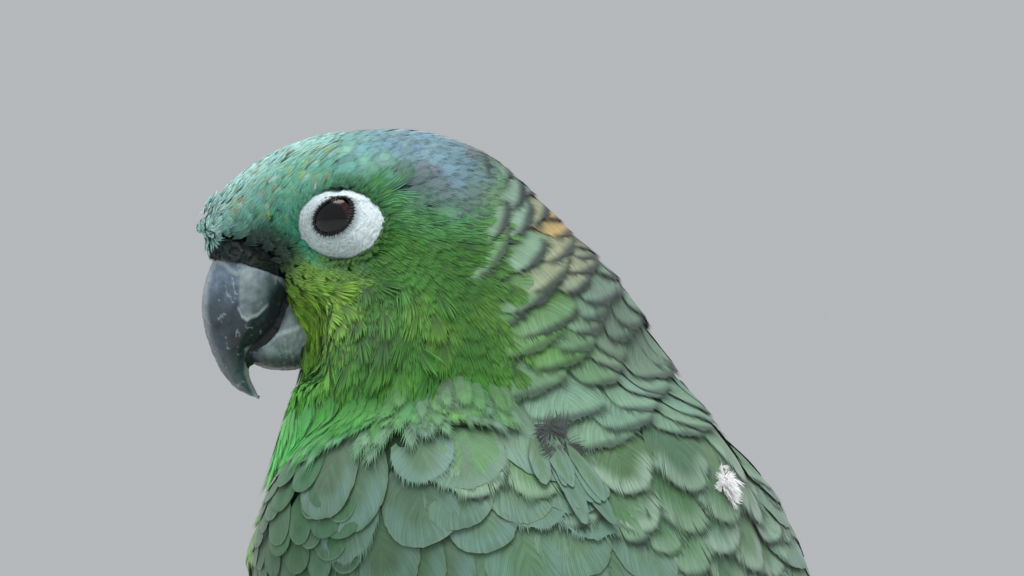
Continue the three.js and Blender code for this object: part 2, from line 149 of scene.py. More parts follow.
# ---- Objects ----
def let_go():
    """Nothing selected, in object mode."""
    if bpy.context.object and bpy.context.object.mode != "OBJECT":
        bpy.ops.object.mode_set(mode="OBJECT")
    bpy.ops.object.select_all(action="DESELECT")


def take(obj):
    let_go()
    obj.select_set(True)
    bpy.context.view_layer.objects.active = obj
    return obj


def added(primitive, name, location=(0, 0, 0), **sizes):
    """A new primitive at its size and place."""
    let_go()
    primitive(location=location, **sizes)
    bpy.context.object.name = name
    return bpy.context.object


def edited(obj, *steps):
    """Edit-mode operators, each with its settings, on the whole of a mesh."""
    take(obj)
    bpy.ops.object.mode_set(mode="EDIT")
    bpy.ops.mesh.select_all(action="SELECT")
    for step, settings in steps:
        step(**settings)
    bpy.ops.object.mode_set(mode="OBJECT")
    return obj


FACE_OUT = (bpy.ops.mesh.normals_make_consistent, {"inside": False})


def joined(name, pieces):
    """One object from several."""
    let_go()
    for piece in pieces:
        piece.select_set(True)
    bpy.context.view_layer.objects.active = pieces[0]
    if len(pieces) > 1:
        bpy.ops.object.join()
    pieces[0].name = pieces[0].data.name = name
    return pieces[0]


def apply(obj, kind, **settings):
    """Adds one modifier and applies it."""
    take(obj)
    modifier = obj.modifiers.new(kind.title(), kind)
    for key, value in settings.items():
        setattr(modifier, key, value)
    bpy.ops.object.modifier_apply(modifier=modifier.name)
    return obj


def merged_copy(name, nodes, grow=0.0):
    """Copies of CAD nodes as one object, each closed up and grown a little so that they run together."""
    closing = [(bpy.ops.mesh.remove_doubles, {"threshold": 1e-6}), FACE_OUT]
    if grow:
        closing.append((bpy.ops.transform.shrink_fatten, {"value": grow}))
    copies = []
    for node in nodes:
        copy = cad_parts[node].copy()
        copy.data = copy.data.copy()
        copy.name = f"{name}_{node}"
        copy.parent = None
        for key in [key for key in copy.keys() if key.startswith("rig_")]:
            del copy[key]
        bpy.context.collection.objects.link(copy)
        copy.hide_viewport = copy.hide_render = False
        copy.hide_set(False)
        copies.append(edited(copy, *closing))
    made = joined(name, copies)
    made.data.materials.clear()
    return made


def remeshed(name, nodes, voxel, rounds, grow=0.0):
    """A fine, even mesh in the shape of some CAD nodes, its facets rounded off."""
    made = merged_copy(name, nodes, grow)
    apply(made, "REMESH", mode="VOXEL", voxel_size=voxel)
    return apply(made, "SMOOTH", factor=0.5, iterations=rounds)


def points_of(mesh):
    flat = np.empty(len(mesh.vertices) * 3, np.float32)
    mesh.vertices.foreach_get("co", flat)
    return flat.reshape(-1, 3).astype(float)


def put_points(mesh, points):
    mesh.vertices.foreach_set("co", points.astype(np.float32).ravel())
    mesh.update()


def normals_of(mesh):
    flat = np.empty(len(mesh.vertices) * 3, np.float32)
    mesh.vertex_normals.foreach_get("vector", flat)
    return flat.reshape(-1, 3).astype(float)


def raise_points(obj, height_mm):
    """Moves each point of a mesh out along its normal."""
    put_points(obj.data, points_of(obj.data) + normals_of(obj.data) * (height_mm * MM)[:, None])


def shade_smooth(obj):
    obj.data.polygons.foreach_set("use_smooth", [True] * len(obj.data.polygons))
    obj.data.update()
    return obj


def paint(mesh, name, values):
    """A colour for each point of a mesh."""
    layer = mesh.attributes.new(name, "FLOAT_COLOR", "POINT")
    rgba = np.ones((len(values), 4), np.float32)
    rgba[:, :3] = np.clip(values, 0, 1)
    layer.data.foreach_set("color", rgba.ravel())


def finish_piece(obj, slot, material, *nodes):
    """Every piece rides on the one body, takes its finish in a new material slot and may stand for CAD nodes.
    Its slot argument is not used.
    """
    obj.data.materials.append(material)
    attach(obj, BODY)
    if nodes:
        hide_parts(*nodes)
    return obj


# ---- Materials ----
def add_node(tree, kind, settings=None, out=0, **links):
    """Adds a node of a kind, with its own settings and its sockets' values or links, i0 being the first
    socket, and gives one or more of its outputs."""
    node = tree.nodes.new("ShaderNode" + kind)
    for key, value in (settings or {}).items():
        setattr(node, key, value)
    for key, value in links.items():
        numbered = key[0] == "i" and key[1:].isdigit()
        socket = node.inputs[int(key[1:]) if numbered else key.replace("_", " ")]
        if isinstance(value, bpy.types.NodeSocket):
            tree.links.new(value, socket)
        elif isinstance(value, np.ndarray) and socket.type == "RGBA":
            socket.default_value = (*value, 1)
        else:
            socket.default_value = value
    return node.outputs[out] if len(node.outputs) else None


def new_material(name):
    """An empty material, and the function that adds nodes to it."""
    made = bpy.data.materials.new(name)
    made.use_nodes = True
    made.node_tree.nodes.clear()
    return made, functools.partial(add_node, made.node_tree)


def finish_material(node, **sockets):
    node("OutputMaterial", Surface=node("BsdfPrincipled", **sockets))


EASED = {"interpolation_type": "SMOOTHSTEP"}
PRODUCT = {"operation": "MULTIPLY"}
BLENDED = {"data_type": "RGBA"}
SHADED = {"data_type": "RGBA", "blend_type": "MULTIPLY"}
MIXED = 2  # the Mix node's output for colours
NOISE_LOW, NOISE_HIGH = 0.3, 0.7
ZONE_FADE = 0.45
FOOT_FADE = 0.35


def plumage_material(name, barbs, rim_from, rim_foot, line_depth, roughness, sheen, zone_from=None,
                     rim_to=1.0, rim_fade=0.0, fine=1):
    """Feather vane: coloured keratin barbs that grow side by side, dry and faintly glossy, with fine dark
    seams between them. Real barbs lie 0.1 to 0.3 mm apart, too fine to show, so the seams are drawn two or
    three times as coarse. A paler zone and then a rim take their colours nearer the vane's outline, past
    its foot."""
    made, node = new_material(name)
    across, along = node("SeparateXYZ", out=slice(2), i0=node("UVMap", {"uv_map": "Vane"}))
    centred = node("Math", {"operation": "MULTIPLY_ADD"}, i0=across, i1=2.0, i2=-1.0)
    out = node("Math", {"operation": "ABSOLUTE"}, i0=centred)
    shown, rim = (node("Attribute", {"attribute_name": layer}) for layer in ("tint", "rim"))
    past = node("MapRange", EASED, i0=along, i1=(rim_foot - 0.01) * barbs, i2=(rim_foot + FOOT_FADE) * barbs)
    if zone_from is not None:
        in_zone = node("MapRange", EASED, i0=out, i1=zone_from, i2=zone_from + ZONE_FADE)
        zoned = node("Math", PRODUCT, i0=in_zone, i1=past)
        zone = node("Attribute", {"attribute_name": "zone"})
        shown = node("Mix", BLENDED, MIXED, i0=zoned, i6=shown, i7=zone)
    at_rim = node("MapRange", EASED, i0=out, i1=rim_from, i2=rim_to)
    fading = node("MapRange", EASED, i0=out, i1=rim_to, i2=1.02, i3=1.0, i4=1.0 - rim_fade)
    rimmed = node("Math", PRODUCT, i0=node("Math", PRODUCT, i0=at_rim, i1=fading), i1=past)
    shown = node("Mix", BLENDED, MIXED, i0=rimmed, i6=shown, i7=rim)
    sockets = {"Base_Color": shown}
    if line_depth:
        place = node("TexCoord", out="Object")
        seam = node("Math", {"operation": "PINGPONG"}, i0=along, i1=0.5 / fine)
        some = node("TexNoise", Vector=place, Scale=420.0, Detail=2.0)
        deep = node("MapRange", i0=some, i1=0.35, i2=0.65, i3=1.0 - 0.3 * line_depth, i4=1.0 - line_depth)
        dim = node("MapRange", i0=seam, i1=0.0, i2=0.26 / fine, i3=deep, i4=1.0)
        lined = node("Mix", SHADED, MIXED, i0=1.0, i6=shown, i7=dim)
        shift = node("Math", PRODUCT, i0=node("SeparateXYZ", i0=place), i1=60.0)
        run = node("CombineXYZ", i0=along, i1=out, i2=shift)
        streak = node("TexNoise", Vector=run, Scale=1.6, Detail=3.0)
        light = node("MapRange", i0=streak, i1=NOISE_LOW, i2=NOISE_HIGH, i3=1.0 - 0.6 * line_depth,
                     i4=1.0 + 0.5 * line_depth)
        lined = node("Mix", SHADED, MIXED, i0=1.0, i6=lined, i7=light)
        sockets = {"Base_Color": lined, "Normal": node("Bump", Strength=0.3, Distance=0.06 * MM, Height=seam)}
    finish_material(node, Roughness=roughness, Sheen_Weight=sheen, Sheen_Roughness=0.5,
                    Specular_IOR_Level=0.3, **sockets)
    return made


def painted_material(name, roughness, fleck_mm, fleck, bump_mm, bump, specular=0.5, coat=0.0,
                     stretch=(1, 1, 1)):
    """A finish whose colour is painted on the mesh, broken up by flecks and a fine relief of a real size."""
    made, node = new_material(name)
    drawn = node("Mapping", Vector=node("TexCoord", out="Object"), Scale=stretch)
    coarse = node("TexNoise", Vector=drawn, Scale=1 / (fleck_mm * MM), Detail=3.0)
    fine = node("TexNoise", Vector=drawn, Scale=1 / (bump_mm * MM), Detail=4.0)
    light = node("MapRange", i0=coarse, i1=NOISE_LOW, i2=NOISE_HIGH, i3=1 - fleck, i4=1 + fleck)
    tint = node("Attribute", {"attribute_name": "tint"})
    shown = node("Mix", SHADED, MIXED, i0=1.0, i6=tint, i7=light)
    gloss = node("MapRange", i0=coarse, i1=NOISE_LOW, i2=NOISE_HIGH, i3=roughness - 0.07, i4=roughness + 0.07)
    relief = node("Bump", Strength=bump, Distance=bump_mm * MM * 0.3, Height=fine)
    finish_material(node, Base_Color=shown, Roughness=gloss, Normal=relief, Specular_IOR_Level=specular,
                    Coat_Weight=coat, Coat_Roughness=0.25)
    return made


# ---- The bird's outer form, which feathers are laid along ----
FLESH = ("trunk", "neck", "head", "thigh_left", "thigh_right")
WINGS = tuple(f"wing_{side}_{part}" for side in SIDES for part in ("coverts", "secondaries", "primaries"))
TAIL = ("tail_left", "tail_middle", "tail_right")


class Surface:
    """A smooth mesh to trace along: its nearest place to a point, and the rounded normal there."""

    def __init__(self, obj):
        mesh = obj.data
        mesh.calc_loop_triangles()
        self.points = points_of(mesh)
        self.normals = normals_of(mesh)
        corners = np.empty(len(mesh.loop_triangles) * 3, np.int32)
        mesh.loop_triangles.foreach_get("vertices", corners)
        self.corners = corners.reshape(-1, 3)
        self.tree = BVHTree.FromPolygons(self.points.tolist(), self.corners.tolist())

    def nearest(self, points):
        found = [self.tree.find_nearest(p) for p in points.tolist()]
        places = np.array([f[0] for f in found])
        faces = np.array([f[2] for f in found])
        corners = self.corners[faces]
        gap = np.linalg.norm(self.points[corners] - places[:, None], axis=2) + 1e-5
        weight = 1 / gap
        return places, unit((self.normals[corners] * weight[..., None]).sum(1))

    def distance(self, points):
        return np.array([self.tree.find_nearest(p)[3] for p in points.tolist()])

    def reach(self, starts, way):
        """Where rays from outside first meet the surface, or the nearest place to those that miss."""
        made = []
        for start in starts.tolist():
            hit = self.tree.ray_cast(start, way)[0]
            made.append(hit if hit is not None else self.tree.find_nearest(start)[0])
        return np.array(made)


# Hollows and swells that the pose gives the coat: a place, how far round it they reach and how high they
# stand, all in millimetres.
POSE_RELIEF = (
    ((-2, 16, 279), 17, -7.0),  # behind the neck
    ((-17, 9, 281), 15, -4.6),  # its right side
    ((-2, -18, 316), 13, 2.6),  # nape feathers, lifted by the turn of the head
    ((-2, 43, 257), 13, 1.6),  # shoulder feathers over the back
    ((22, -74, 264), 17, -2.0),  # throat
    ((24, -80, 249), 12, -3.6),  # foot of the throat
    ((31, -82, 222), 20, 12.0),  # breast
)
CHEEK_DRAWN_BACK = 4.6


def posed(obj):
    """Gives the outer form the pose's relief, and draws the cheeks back from the lower bill."""
    points = points_of(obj.data) / MM
    heights = (high * np.exp(-((points - at) ** 2).sum(1) / reach**2) for at, reach, high in POSE_RELIEF)
    raise_points(obj, sum(heights))
    at = seen_from(HEAD, points_of(obj.data))
    beside = smooth(7.0, 10.5, np.abs(at[:, 0])) * smooth(-0.5, 7.5, -at[:, 1])
    at[:, 1] += CHEEK_DRAWN_BACK * beside * smooth(-17, -22, at[:, 2]) * smooth(-42, -37, at[:, 2])
    put_points(obj.data, placed(HEAD, at))
    return obj


CLOSE_GAPS = 0.25 * MM
form_object = posed(remeshed("skin", FLESH, 1.5 * MM, 6, CLOSE_GAPS))
form = Surface(form_object)
cloak = Surface(posed(remeshed("cloak", FLESH + WINGS, 1.8 * MM, 4, 0.7 * MM)))
rear = Surface(posed(remeshed("rear", ("trunk", *TAIL), 1.8 * MM, 5, 0.7 * MM)))
brow = Surface(posed(remeshed("brow", ("head", "cere"), 1.0 * MM, 3, 0.3 * MM)))
wing_shell = Surface(merged_copy("wing_shell", WINGS))
bare_parts = Surface(merged_copy("bare_parts", ("cere", "bill_upper", "bill_lower")))
for helper in ("cloak", "rear", "brow", "wing_shell", "bare_parts"):
    bpy.data.objects.remove(bpy.data.objects[helper])

# ---- Lie of the coat ----
BILL_ROOT = place_in(HEAD, 0, -22, -13)
COWLICK = place_in(HEAD, 0, -29, -1)
NECK_AXIS = np.array((15.9, 6.6))
TAILWARD = direction_in(TRUNK, 0, 1, 0)
DOWN = np.array((0.0, 0.0, -1.0))
RING_CENTRE = np.array((1.5, -1.7))
RING_HALF = np.array((10.3, 8.3))
COLLAR_HIGH, COLLAR_SLOPE = 265.5, 0.155


def ring_reach(points):
    """How far a place is from the eye's middle, as a share of the bare ring's edge, seen from the side."""
    at = seen_from(HEAD, points)
    out = (at[:, 1:3] - RING_CENTRE) / RING_HALF
    reach = np.linalg.norm(out, axis=1)
    return np.where(np.abs(at[:, 0]) > 8, reach, 9.0), out


def from_neck_axis(points):
    """How far places are from a line through the head, from side to side, and the way out from it."""
    out = seen_from(HEAD, points)[:, 1:] - NECK_AXIS
    far = np.linalg.norm(out, axis=1)
    sides = np.array((direction_in(HEAD, 0, 1, 0), direction_in(HEAD, 0, 0, 1)))
    return far, unit(out) @ sides


def collar(points):
    """Height in millimetres over the line where green neck gives way to powdery mantle."""
    return points[:, 2] / MM - (COLLAR_HIGH + COLLAR_SLOPE * points[:, 1] / MM)


def flow(points):
    """The way feathers point, before it is laid flat on the surface."""
    away = points - BILL_ROOT
    far = np.linalg.norm(away, axis=1, keepdims=True) / MM
    from_bill = 1 - smooth(22, 88, far)
    on_trunk = smooth(62, 118, far)
    _, down_neck = from_neck_axis(points)
    way = unit(away) * from_bill + down_neck * (1 - from_bill) * (1 - on_trunk) + TAILWARD * on_trunk
    from_cowlick = points - COWLICK
    near = np.exp(-((np.linalg.norm(from_cowlick, axis=1, keepdims=True) / MM / 13) ** 2))
    way = way * (1 - near) + unit(from_cowlick) * near
    at = seen_from(HEAD, points)
    below = smooth(-10, -45, at[:, 2:3]) * (1 - on_trunk)
    way = way + DOWN * 0.25 * below
    trunk_at = seen_from(TRUNK, points)
    shoulder = smooth(14, 34, np.abs(trunk_at[:, :1])) * (1 - smooth(-10, 45, trunk_at[:, 1:2])) * on_trunk
    way = way + shoulder * (DOWN * 0.9)
    reach, out = ring_reach(points)
    push = np.exp(-(((reach - 1) / 0.35) ** 2))[:, None]
    sideways = out[:, :1] * direction_in(HEAD, 0, 1, 0) + out[:, 1:] * direction_in(HEAD, 0, 0, 1)
    return unit(way + push * 0.8 * sideways)


def lie(points, normals):
    way = flow(points)
    return unit(way - (way * normals).sum(1, keepdims=True) * normals)


# ---- Plumage colours ----
TEAL, TEAL_DEEP, TEAL_PALE = colours("#6cb094 #3f997a #b4ddd8")
FLECKS = colours("#9db55a #a58f6a #7fb9c4 #c3dcd2")
CROWN_BLUE, CROWN_PALE, CROWN_MAUVE = colours("#658a97 #9fb3bf #6a6f7c")
CROWN_LOW, CROWN_TEAL = colours("#365e4e #6aa198")
BROW_GREEN, LORE_DARK, EAR_DARK = colours("#488753 #22382f #1c3a18")
CHEEK_GREEN, CHEEK_DEEP, CHEEK_OLIVE, CHEEK_TIP = colours("#326f1f #285e1b #557f26 #558f2e")
GAPE_YELLOW, THROAT_GREEN, THROAT_EMERALD = colours("#8fc33f #35933a #4ed662")
NAPE_GREY, NAPE_GREEN, NAPE_DARK, NAPE_PALE = colours("#5f7a66 #4a7a34 #222d30 #8ba79f")
MANTLE_GREY, MANTLE_GREEN, MANTLE_PALE, MANTLE_BLUE = colours("#688a74 #4f7a4c #8fa997 #5c7c78")
SHOULDER_GREEN, SPOT_YELLOW = colours("#31693c #d39b26")
BREAST_GREEN, BELLY_GREEN, RUMP_GREEN, UNDERTAIL_YELLOW = colours("#6f9a58 #7f9f63 #548a48 #9ab060")
WING_GREEN, COVERT_GREEN, QUILL_GREEN = colours("#35593c #365a3e #365f3c")
PRIMARY_BLUE, SECONDARY_EDGE = colours("#1f3552 #7d9a6c")
TAIL_GREEN, TAIL_TIP = colours("#437a3c #8ea552")

# The crown's lower edge, as places behind and above the point between the eyes.
CROWN_FOOT = ((-8, 0, 8, 16, 25, 32, 38), (10, 9, 7.4, 3.4, 0.6, 2.6, 6))


def over_crown(back, up):
    """Millimetres over the crown's lower edge."""
    return up - np.interp(back, *CROWN_FOOT)


def over_nape(back, up):
    """Millimetres behind the line where the cheek's soft feathers give way to the nape's broad ones."""
    return back - 35 - 0.2 * np.maximum(-up, 0)


def from_lores(back, up):
    """Distance from the middle of the long dark patch between the bill and the eye."""
    return np.hypot((back + 20) / 1.6, up + 10)


def plumage(points):
    """The coat's own colour at each place, without one feather's variation."""
    side, back, up = seen_from(HEAD, points).T
    _, behind, above = seen_from(TRUNK, points).T
    side = np.abs(side)
    local = points / MM
    olive = smooth(0.2, 1.2, ripple(local, 15, 33)) * smooth(8, 24, back)
    yellow = smooth(19, 4, np.hypot(back + 9, up + 18) + 2.5 * ripple(local, 6, 37))
    ear = smooth(6, 1, np.hypot(back - 11.5, up + 26)) * (side > 8)
    cheek = mix(CHEEK_GREEN, CHEEK_DEEP, 0.5 + 0.5 * ripple(local, 22, 31))
    cheek = layered(cheek, (CHEEK_OLIVE, olive * 0.6), (GAPE_YELLOW, yellow * 0.72), (EAR_DARK, ear * 0.6))
    # Painted light: the lower cheek, most of all a place low towards its back, is made lighter against the
    # shade that falls on it.
    painted_light_low_cheek = smooth(-26, -46, up) * (0.85 + 0.8 * smooth(15, 4, np.hypot(back - 23, up + 40)))
    cheek = cheek * (1 + painted_light_low_cheek)[:, None]
    forehead = mix(TEAL_DEEP, TEAL, smooth(-6, 8, up + 0.15 * back + 2))
    forehead = mix(forehead, TEAL_PALE, smooth(16, 4, side) * smooth(-10, 0, up) * 0.9)
    crown_line = over_crown(back, up)
    on_crown = smooth(-3, 3, crown_line)
    crown = mix(CROWN_BLUE, CROWN_MAUVE, smooth(-0.2, 1.2, ripple(local, 15, 32)) * 0.8)
    crown = mix(crown, CROWN_PALE, smooth(9, 2, side) * 0.7) * (1 - 0.38 * smooth(18, 30, back))[:, None]
    throat = mix(THROAT_GREEN, THROAT_EMERALD, smooth(2, -8, back))
    nape_line = over_nape(back, up)
    nape = mix(NAPE_GREEN, NAPE_GREY, smooth(-4, 18, nape_line + 0.45 * up))
    head_and_neck = layered(
        cheek,
        (BROW_GREEN, smooth(-4, 4, up + 0.12 * back)),
        (forehead, smooth(6, -6, back) * smooth(-12, -6, up)),
        (CROWN_TEAL, on_crown * smooth(-8, 0, back) * smooth(20, 4, back)),
        (CROWN_LOW, on_crown * smooth(4, 16, back)),
        (crown, smooth(1, 9, crown_line) * smooth(-6, 10, back)),
        (LORE_DARK, smooth(8, 3.5, from_lores(back, up))),
        (throat, smooth(-38, -52, up - 0.25 * back) * smooth(26, 2, back)),
        (nape, smooth(-9, 5, nape_line)),
    )
    front = mix(BREAST_GREEN, BELLY_GREEN, smooth(-20, 50, behind))
    mantle = mix(MANTLE_GREY, MANTLE_GREEN, 0.35 * smooth(-50, 40, behind))
    mantle = mix(mantle, RUMP_GREEN, smooth(35, 80, behind))
    undertail = smooth(70, 95, behind) * smooth(0, -10, above)
    trunk_tint = layered(front, (mantle, smooth(-30, 12, above)), (UNDERTAIL_YELLOW, undertail))
    return mix(head_and_neck, trunk_tint, smooth(3, -4, collar(points)))


# ---- Feather shapes ----
# A master feather lies flat: across is X from -1 to 1, along is Y from 0 to 1, and its heights are shares of
# half its width. "shade" darkens or lightens each point: painted shade towards the foot, times a chance tone
# for each barb.
SHAFT_STEPS = 7


def edit_edges(obj, wanted):
    """Into edit mode with only the wanted edges selected."""
    take(obj)
    bpy.context.tool_settings.mesh_select_mode = (False, True, False)
    mesh = obj.data
    for part in (mesh.vertices, mesh.edges, mesh.polygons):
        part.foreach_set("select", [False] * len(part))
    for edge in mesh.edges:
        ends = [mesh.vertices[i] for i in edge.vertices]
        if wanted(*(v.co for v in ends)):
            edge.select = True
            for v in ends:
                v.select = True
    bpy.ops.object.mode_set(mode="EDIT")


def flat_sheet(levels, rows, pointed):
    """A sheet 0..1 along X and along Y. When pointed, each row's far end closes to a point of its own."""
    sheet = added(bpy.ops.mesh.primitive_grid_add, "sheet", x_subdivisions=levels, y_subdivisions=rows,
                  size=2)
    end = 1 - 1e-3

    def between_rows(a, b):
        return (a.x > end) != (b.x > end) and abs(a.y - b.y) < 1e-3 and abs(a.y) < end

    if pointed:
        edit_edges(sheet, between_rows)
        bpy.ops.mesh.edge_split(type="EDGE")
        bpy.ops.object.mode_set(mode="OBJECT")
        edit_edges(sheet, lambda a, b: a.x > end and b.x > end)
        bpy.ops.mesh.edge_collapse()
        bpy.ops.object.mode_set(mode="OBJECT")
    points = (points_of(sheet.data) + 1) / 2
    faces = [tuple(p.vertices) for p in sheet.data.polygons]
    bpy.data.objects.remove(sheet)
    return points[:, 0], points[:, 1], faces


def outline(y, base, widest, power):
    """Half the vane's width at a share of its length."""
    grow = base + (1 - base) * np.sin(np.clip(y / widest, 0, 1) * math.pi / 2)
    shrink = (1 - np.clip((y - widest) / (1 - widest), 0, 1) ** power) ** (1 / power)
    return np.where(y < widest, grow, shrink)


def barb_end(q, shape):
    """Where barb q ends: the barbs' ends are at even steps round the vane's outline."""
    y = 1 - (1 - shape["reach"]) * np.linspace(1, 0, 400) ** 2
    x = outline(y, shape["base"], shape["widest"], shape["power"])
    steps = np.hypot(np.diff(x), np.diff(y) * shape["slender"])
    round_it = np.concatenate([[0], np.cumsum(steps)])
    end_y = np.interp(q * round_it[-1], round_it, y)
    return np.interp(end_y, y, x), end_y


def barb_line(q, t, shape):
    """The place on barb q, from the vane's foot 0 to its tip 1, at a share t of the barb's length."""
    end_x, end_y = barb_end(q, shape)
    start_y = shape["leave"] * q
    bend_x, bend_y = shape["bend"] * end_x, start_y + 0.3 * (end_y - start_y)
    x = 2 * t * (1 - t) * bend_x + t * t * end_x
    y = (1 - t) ** 2 * start_y + 2 * t * (1 - t) * bend_y + t * t * end_y
    return x, y


def near_outline(x, y, shape):
    """How near each place is to the vane's tips: 1 at them, falling to 0 at half the vane's width from them.
    Its sides count only past "rimmed", a share of the way round from its foot."""
    tip_x, tip_y = barb_line(np.linspace(shape["rimmed"], 1, 60), 1.0, shape)
    gap = np.hypot(x[:, None] - tip_x, (y[:, None] - tip_y) * shape["slender"])
    return np.clip(1 - gap.min(1), 0, 1)


def gathered(points, places, shades, faces):
    return {"points": np.concatenate(points), "places": np.concatenate(places), "faces": faces,
            "shade": np.concatenate(shades)}


# A vane's outline is widest at a share of its length and as round as its power; "reach" is where its lowest
# barb ends, "leave" where its last one starts, and "slender" its length over half its width.
VANE = {"reach": 0.6, "base": 0.4, "widest": 0.6, "power": 2.8, "bend": 0.78, "ragged": 0.05, "wave": 0.03,
        "camber": 0.1, "root_shade": 0.7, "slits": 0, "slender": 2.5, "leave": 0.74, "frayed": True,
        "rimmed": 0.0}


def vane(barbs, seed, shaft=0.03, levels=4, fringe=0.12, **changes):
    """A whole feather: a closed web on each side of its shaft, that can fray into one point for each barb."""
    shape = {**VANE, **changes}
    rng = np.random.default_rng(seed)
    level, row, sheet_faces = flat_sheet(levels, barbs, shape["frayed"])
    stops = np.linspace(0, 1, levels + 1)
    widths = np.concatenate([np.linspace(0, 1 - fringe, levels), [1.0]])
    at_end = level > 0.999
    nearest_barb = np.round(row * barbs).astype(int)
    points, faces, places, shades = [], [], [], []
    for side in (-1, 1):
        web = np.ones(barbs + 1)
        for slit in rng.integers(barbs // 3, barbs, shape["slits"]):
            web[slit] = rng.uniform(0.55, 0.8)
            web[slit - 1] = min(web[slit - 1], rng.uniform(0.8, 0.95))
        t = np.interp(level, stops, widths) * np.where(at_end & shape["frayed"], 1, web[nearest_barb])
        each = rng.uniform(-1, 0.6, barbs)[np.minimum((row * barbs).astype(int), barbs - 1)]
        t = np.where(at_end, t * (1 + shape["ragged"] * each), t)
        x, y = barb_line(row, t, shape)
        waves = np.sin(row * rng.uniform(9, 16) + rng.uniform(0, 6))
        z = -shape["camber"] * x**2 + shape["wave"] * waves * t**2
        first = sum(len(p) for p in points)
        points.append(np.column_stack([side * x, y, z]))
        places.append(np.column_stack([0.5 + 0.5 * side * near_outline(x, y, shape), row * barbs]))
        strand = rng.uniform(0.93, 1.07, barbs + 1)[nearest_barb]
        # Painted shade: darker towards the vane's foot, where the feathers over it shade it, times each
        # barb's chance tone.
        shades.append((shape["root_shade"] + (1 - shape["root_shade"]) * smooth(0, 0.75, y)) * strand)
        faces += [tuple(first + v for v in face[::side]) for face in sheet_faces]
    if shaft:
        first = sum(len(p) for p in points)
        for k, y in enumerate(np.linspace(0, 0.95, SHAFT_STEPS)):
            half = shaft * (1 - 0.85 * y)
            points.append(np.array([(-half, y, 0.002), (0, y, half * 1.2), (half, y, 0.002)]))
            places.append(np.array([(0.5, y * barbs)] * 3))
            shades.append(np.full(3, 1.12))
            if k:
                a, b = first + 3 * (k - 1), first + 3 * k
                faces += [(a, a + 1, b + 1, b), (a + 1, a + 2, b + 2, b + 1)]
    return gathered(points, places, shades, faces)


def fan(barbs, segments, seed, spread=0.95, foot=0.5, wide=1.1, ragged=0.14, rooted=0.45, lively=0.22):
    """A small loose feather: narrow barbs that leave its foot and run on side by side, each to a point."""
    rng = np.random.default_rng(seed)
    t, c, strip_faces = flat_sheet(segments, 1, True)
    c = c * 2 - 1
    points, faces, places, shades = [], [], [], []
    for i in range(barbs):
        out = (i + 0.5) / barbs * 2 - 1
        start = foot * (1 - abs(out)) * rng.uniform(0.2, 1)
        end = 1 - 0.22 * out**2 + ragged * rng.uniform(-1, 1)
        stray = spread * out + rng.normal(0, 0.06)
        half = wide / barbs * (1 - 0.45 * t**2)
        x = stray * (1 - (1 - t) ** 1.7) + c * half
        y = start + (end - start) * t
        z = 0.06 * rng.uniform(-1, 1) * t + 0.04 * c * rng.choice((-1, 1)) - 0.08 * out**2
        first = sum(len(p) for p in points)
        points.append(np.column_stack([x, y, z]))
        places.append(np.column_stack([0.5 + 0.5 * t, np.full(len(t), 0.5)]))
        # Painted shade: each barb darker towards its foot, under the barbs over it, times its own chance
        # tone.
        shades.append((rooted + (1 - rooted) * smooth(0, 0.8, t)) * (1 + lively * rng.uniform(-1, 1)))
        faces += [tuple(first + v for v in face) for face in strip_faces]
    return gathered(points, places, shades, faces)


def several(kind, count, *sizes, first=0, **changes):
    """Masters of one kind of feather that differ only by chance."""
    return [kind(*sizes, first + k, **changes) for k in range(count)]


# ---- Laying feathers ----
def scatter(surface, spacing, keep, seed, crowd=6):
    """Places spread over a surface no closer than a spacing."""
    rng = np.random.default_rng(seed)
    a, b, c = (surface.points[surface.corners[:, k]] for k in range(3))
    area = np.linalg.norm(np.cross(b - a, c - a), axis=1) / 2
    faces = np.flatnonzero(keep((a + b + c) / 3))
    share = area[faces] / spacing**2
    count = int(share.sum() * crowd)
    pick = faces[rng.choice(len(faces), count, p=share / share.sum())]
    r1, r2 = np.sqrt(rng.random(count)), rng.random(count)
    points = a[pick] * (1 - r1)[:, None] + b[pick] * (r1 * (1 - r2))[:, None] + c[pick] * (r1 * r2)[:, None]
    normals = unit(surface.normals[surface.corners[pick]].mean(1))
    tree = KDTree(count)
    for i, p in enumerate(points):
        tree.insert(p, i)
    tree.balance()
    free = np.ones(count, bool)
    kept = []
    for i in range(count):
        if free[i]:
            kept.append(i)
            for _, j, _ in tree.find_range(points[i], spacing):
                free[j] = False
    return points[kept], normals[kept]


def trace(surface, roots, normals, lengths, yaw, steps):
    """Each feather's path from its root along the coat's lie, on the surface."""
    places, ups = [roots], [normals]
    at, up = roots, normals
    for _ in range(steps):
        way = lie(at, up)
        aside = np.cross(up, way)
        way = way * np.cos(yaw)[:, None] + aside * np.sin(yaw)[:, None]
        at, up = surface.nearest(at + way * (lengths / steps)[:, None])
        places.append(at)
        ups.append(up)
    return np.stack(places, 1), np.stack(ups, 1)


# The unwrap of the body's own shape starts this far ahead of the trunk's middle, and is this long.
UNWRAP_FROM, UNWRAP_LONG = -190, 420


def bake_place(points):
    """A place on an unwrap of the body's own shape: round the spine, and along it from bill to tail."""
    side, behind, above = seen_from(TRUNK, points).T
    around = np.arctan2(side, above) / (2 * math.pi) + 0.5
    along = np.clip((behind - UNWRAP_FROM) / UNWRAP_LONG, 0, 1)
    return np.column_stack([0.01 + 0.98 * around, 0.01 + 0.98 * along])


PATCH = 0.003


def reversed_faces(rows):
    """The same faces wound the other way, where a triangle's fourth corner is -1."""
    turned = rows[..., ::-1].copy()
    triangle = turned[..., 0] == -1
    turned[triangle] = np.roll(turned[triangle], -1, axis=-1)
    return turned


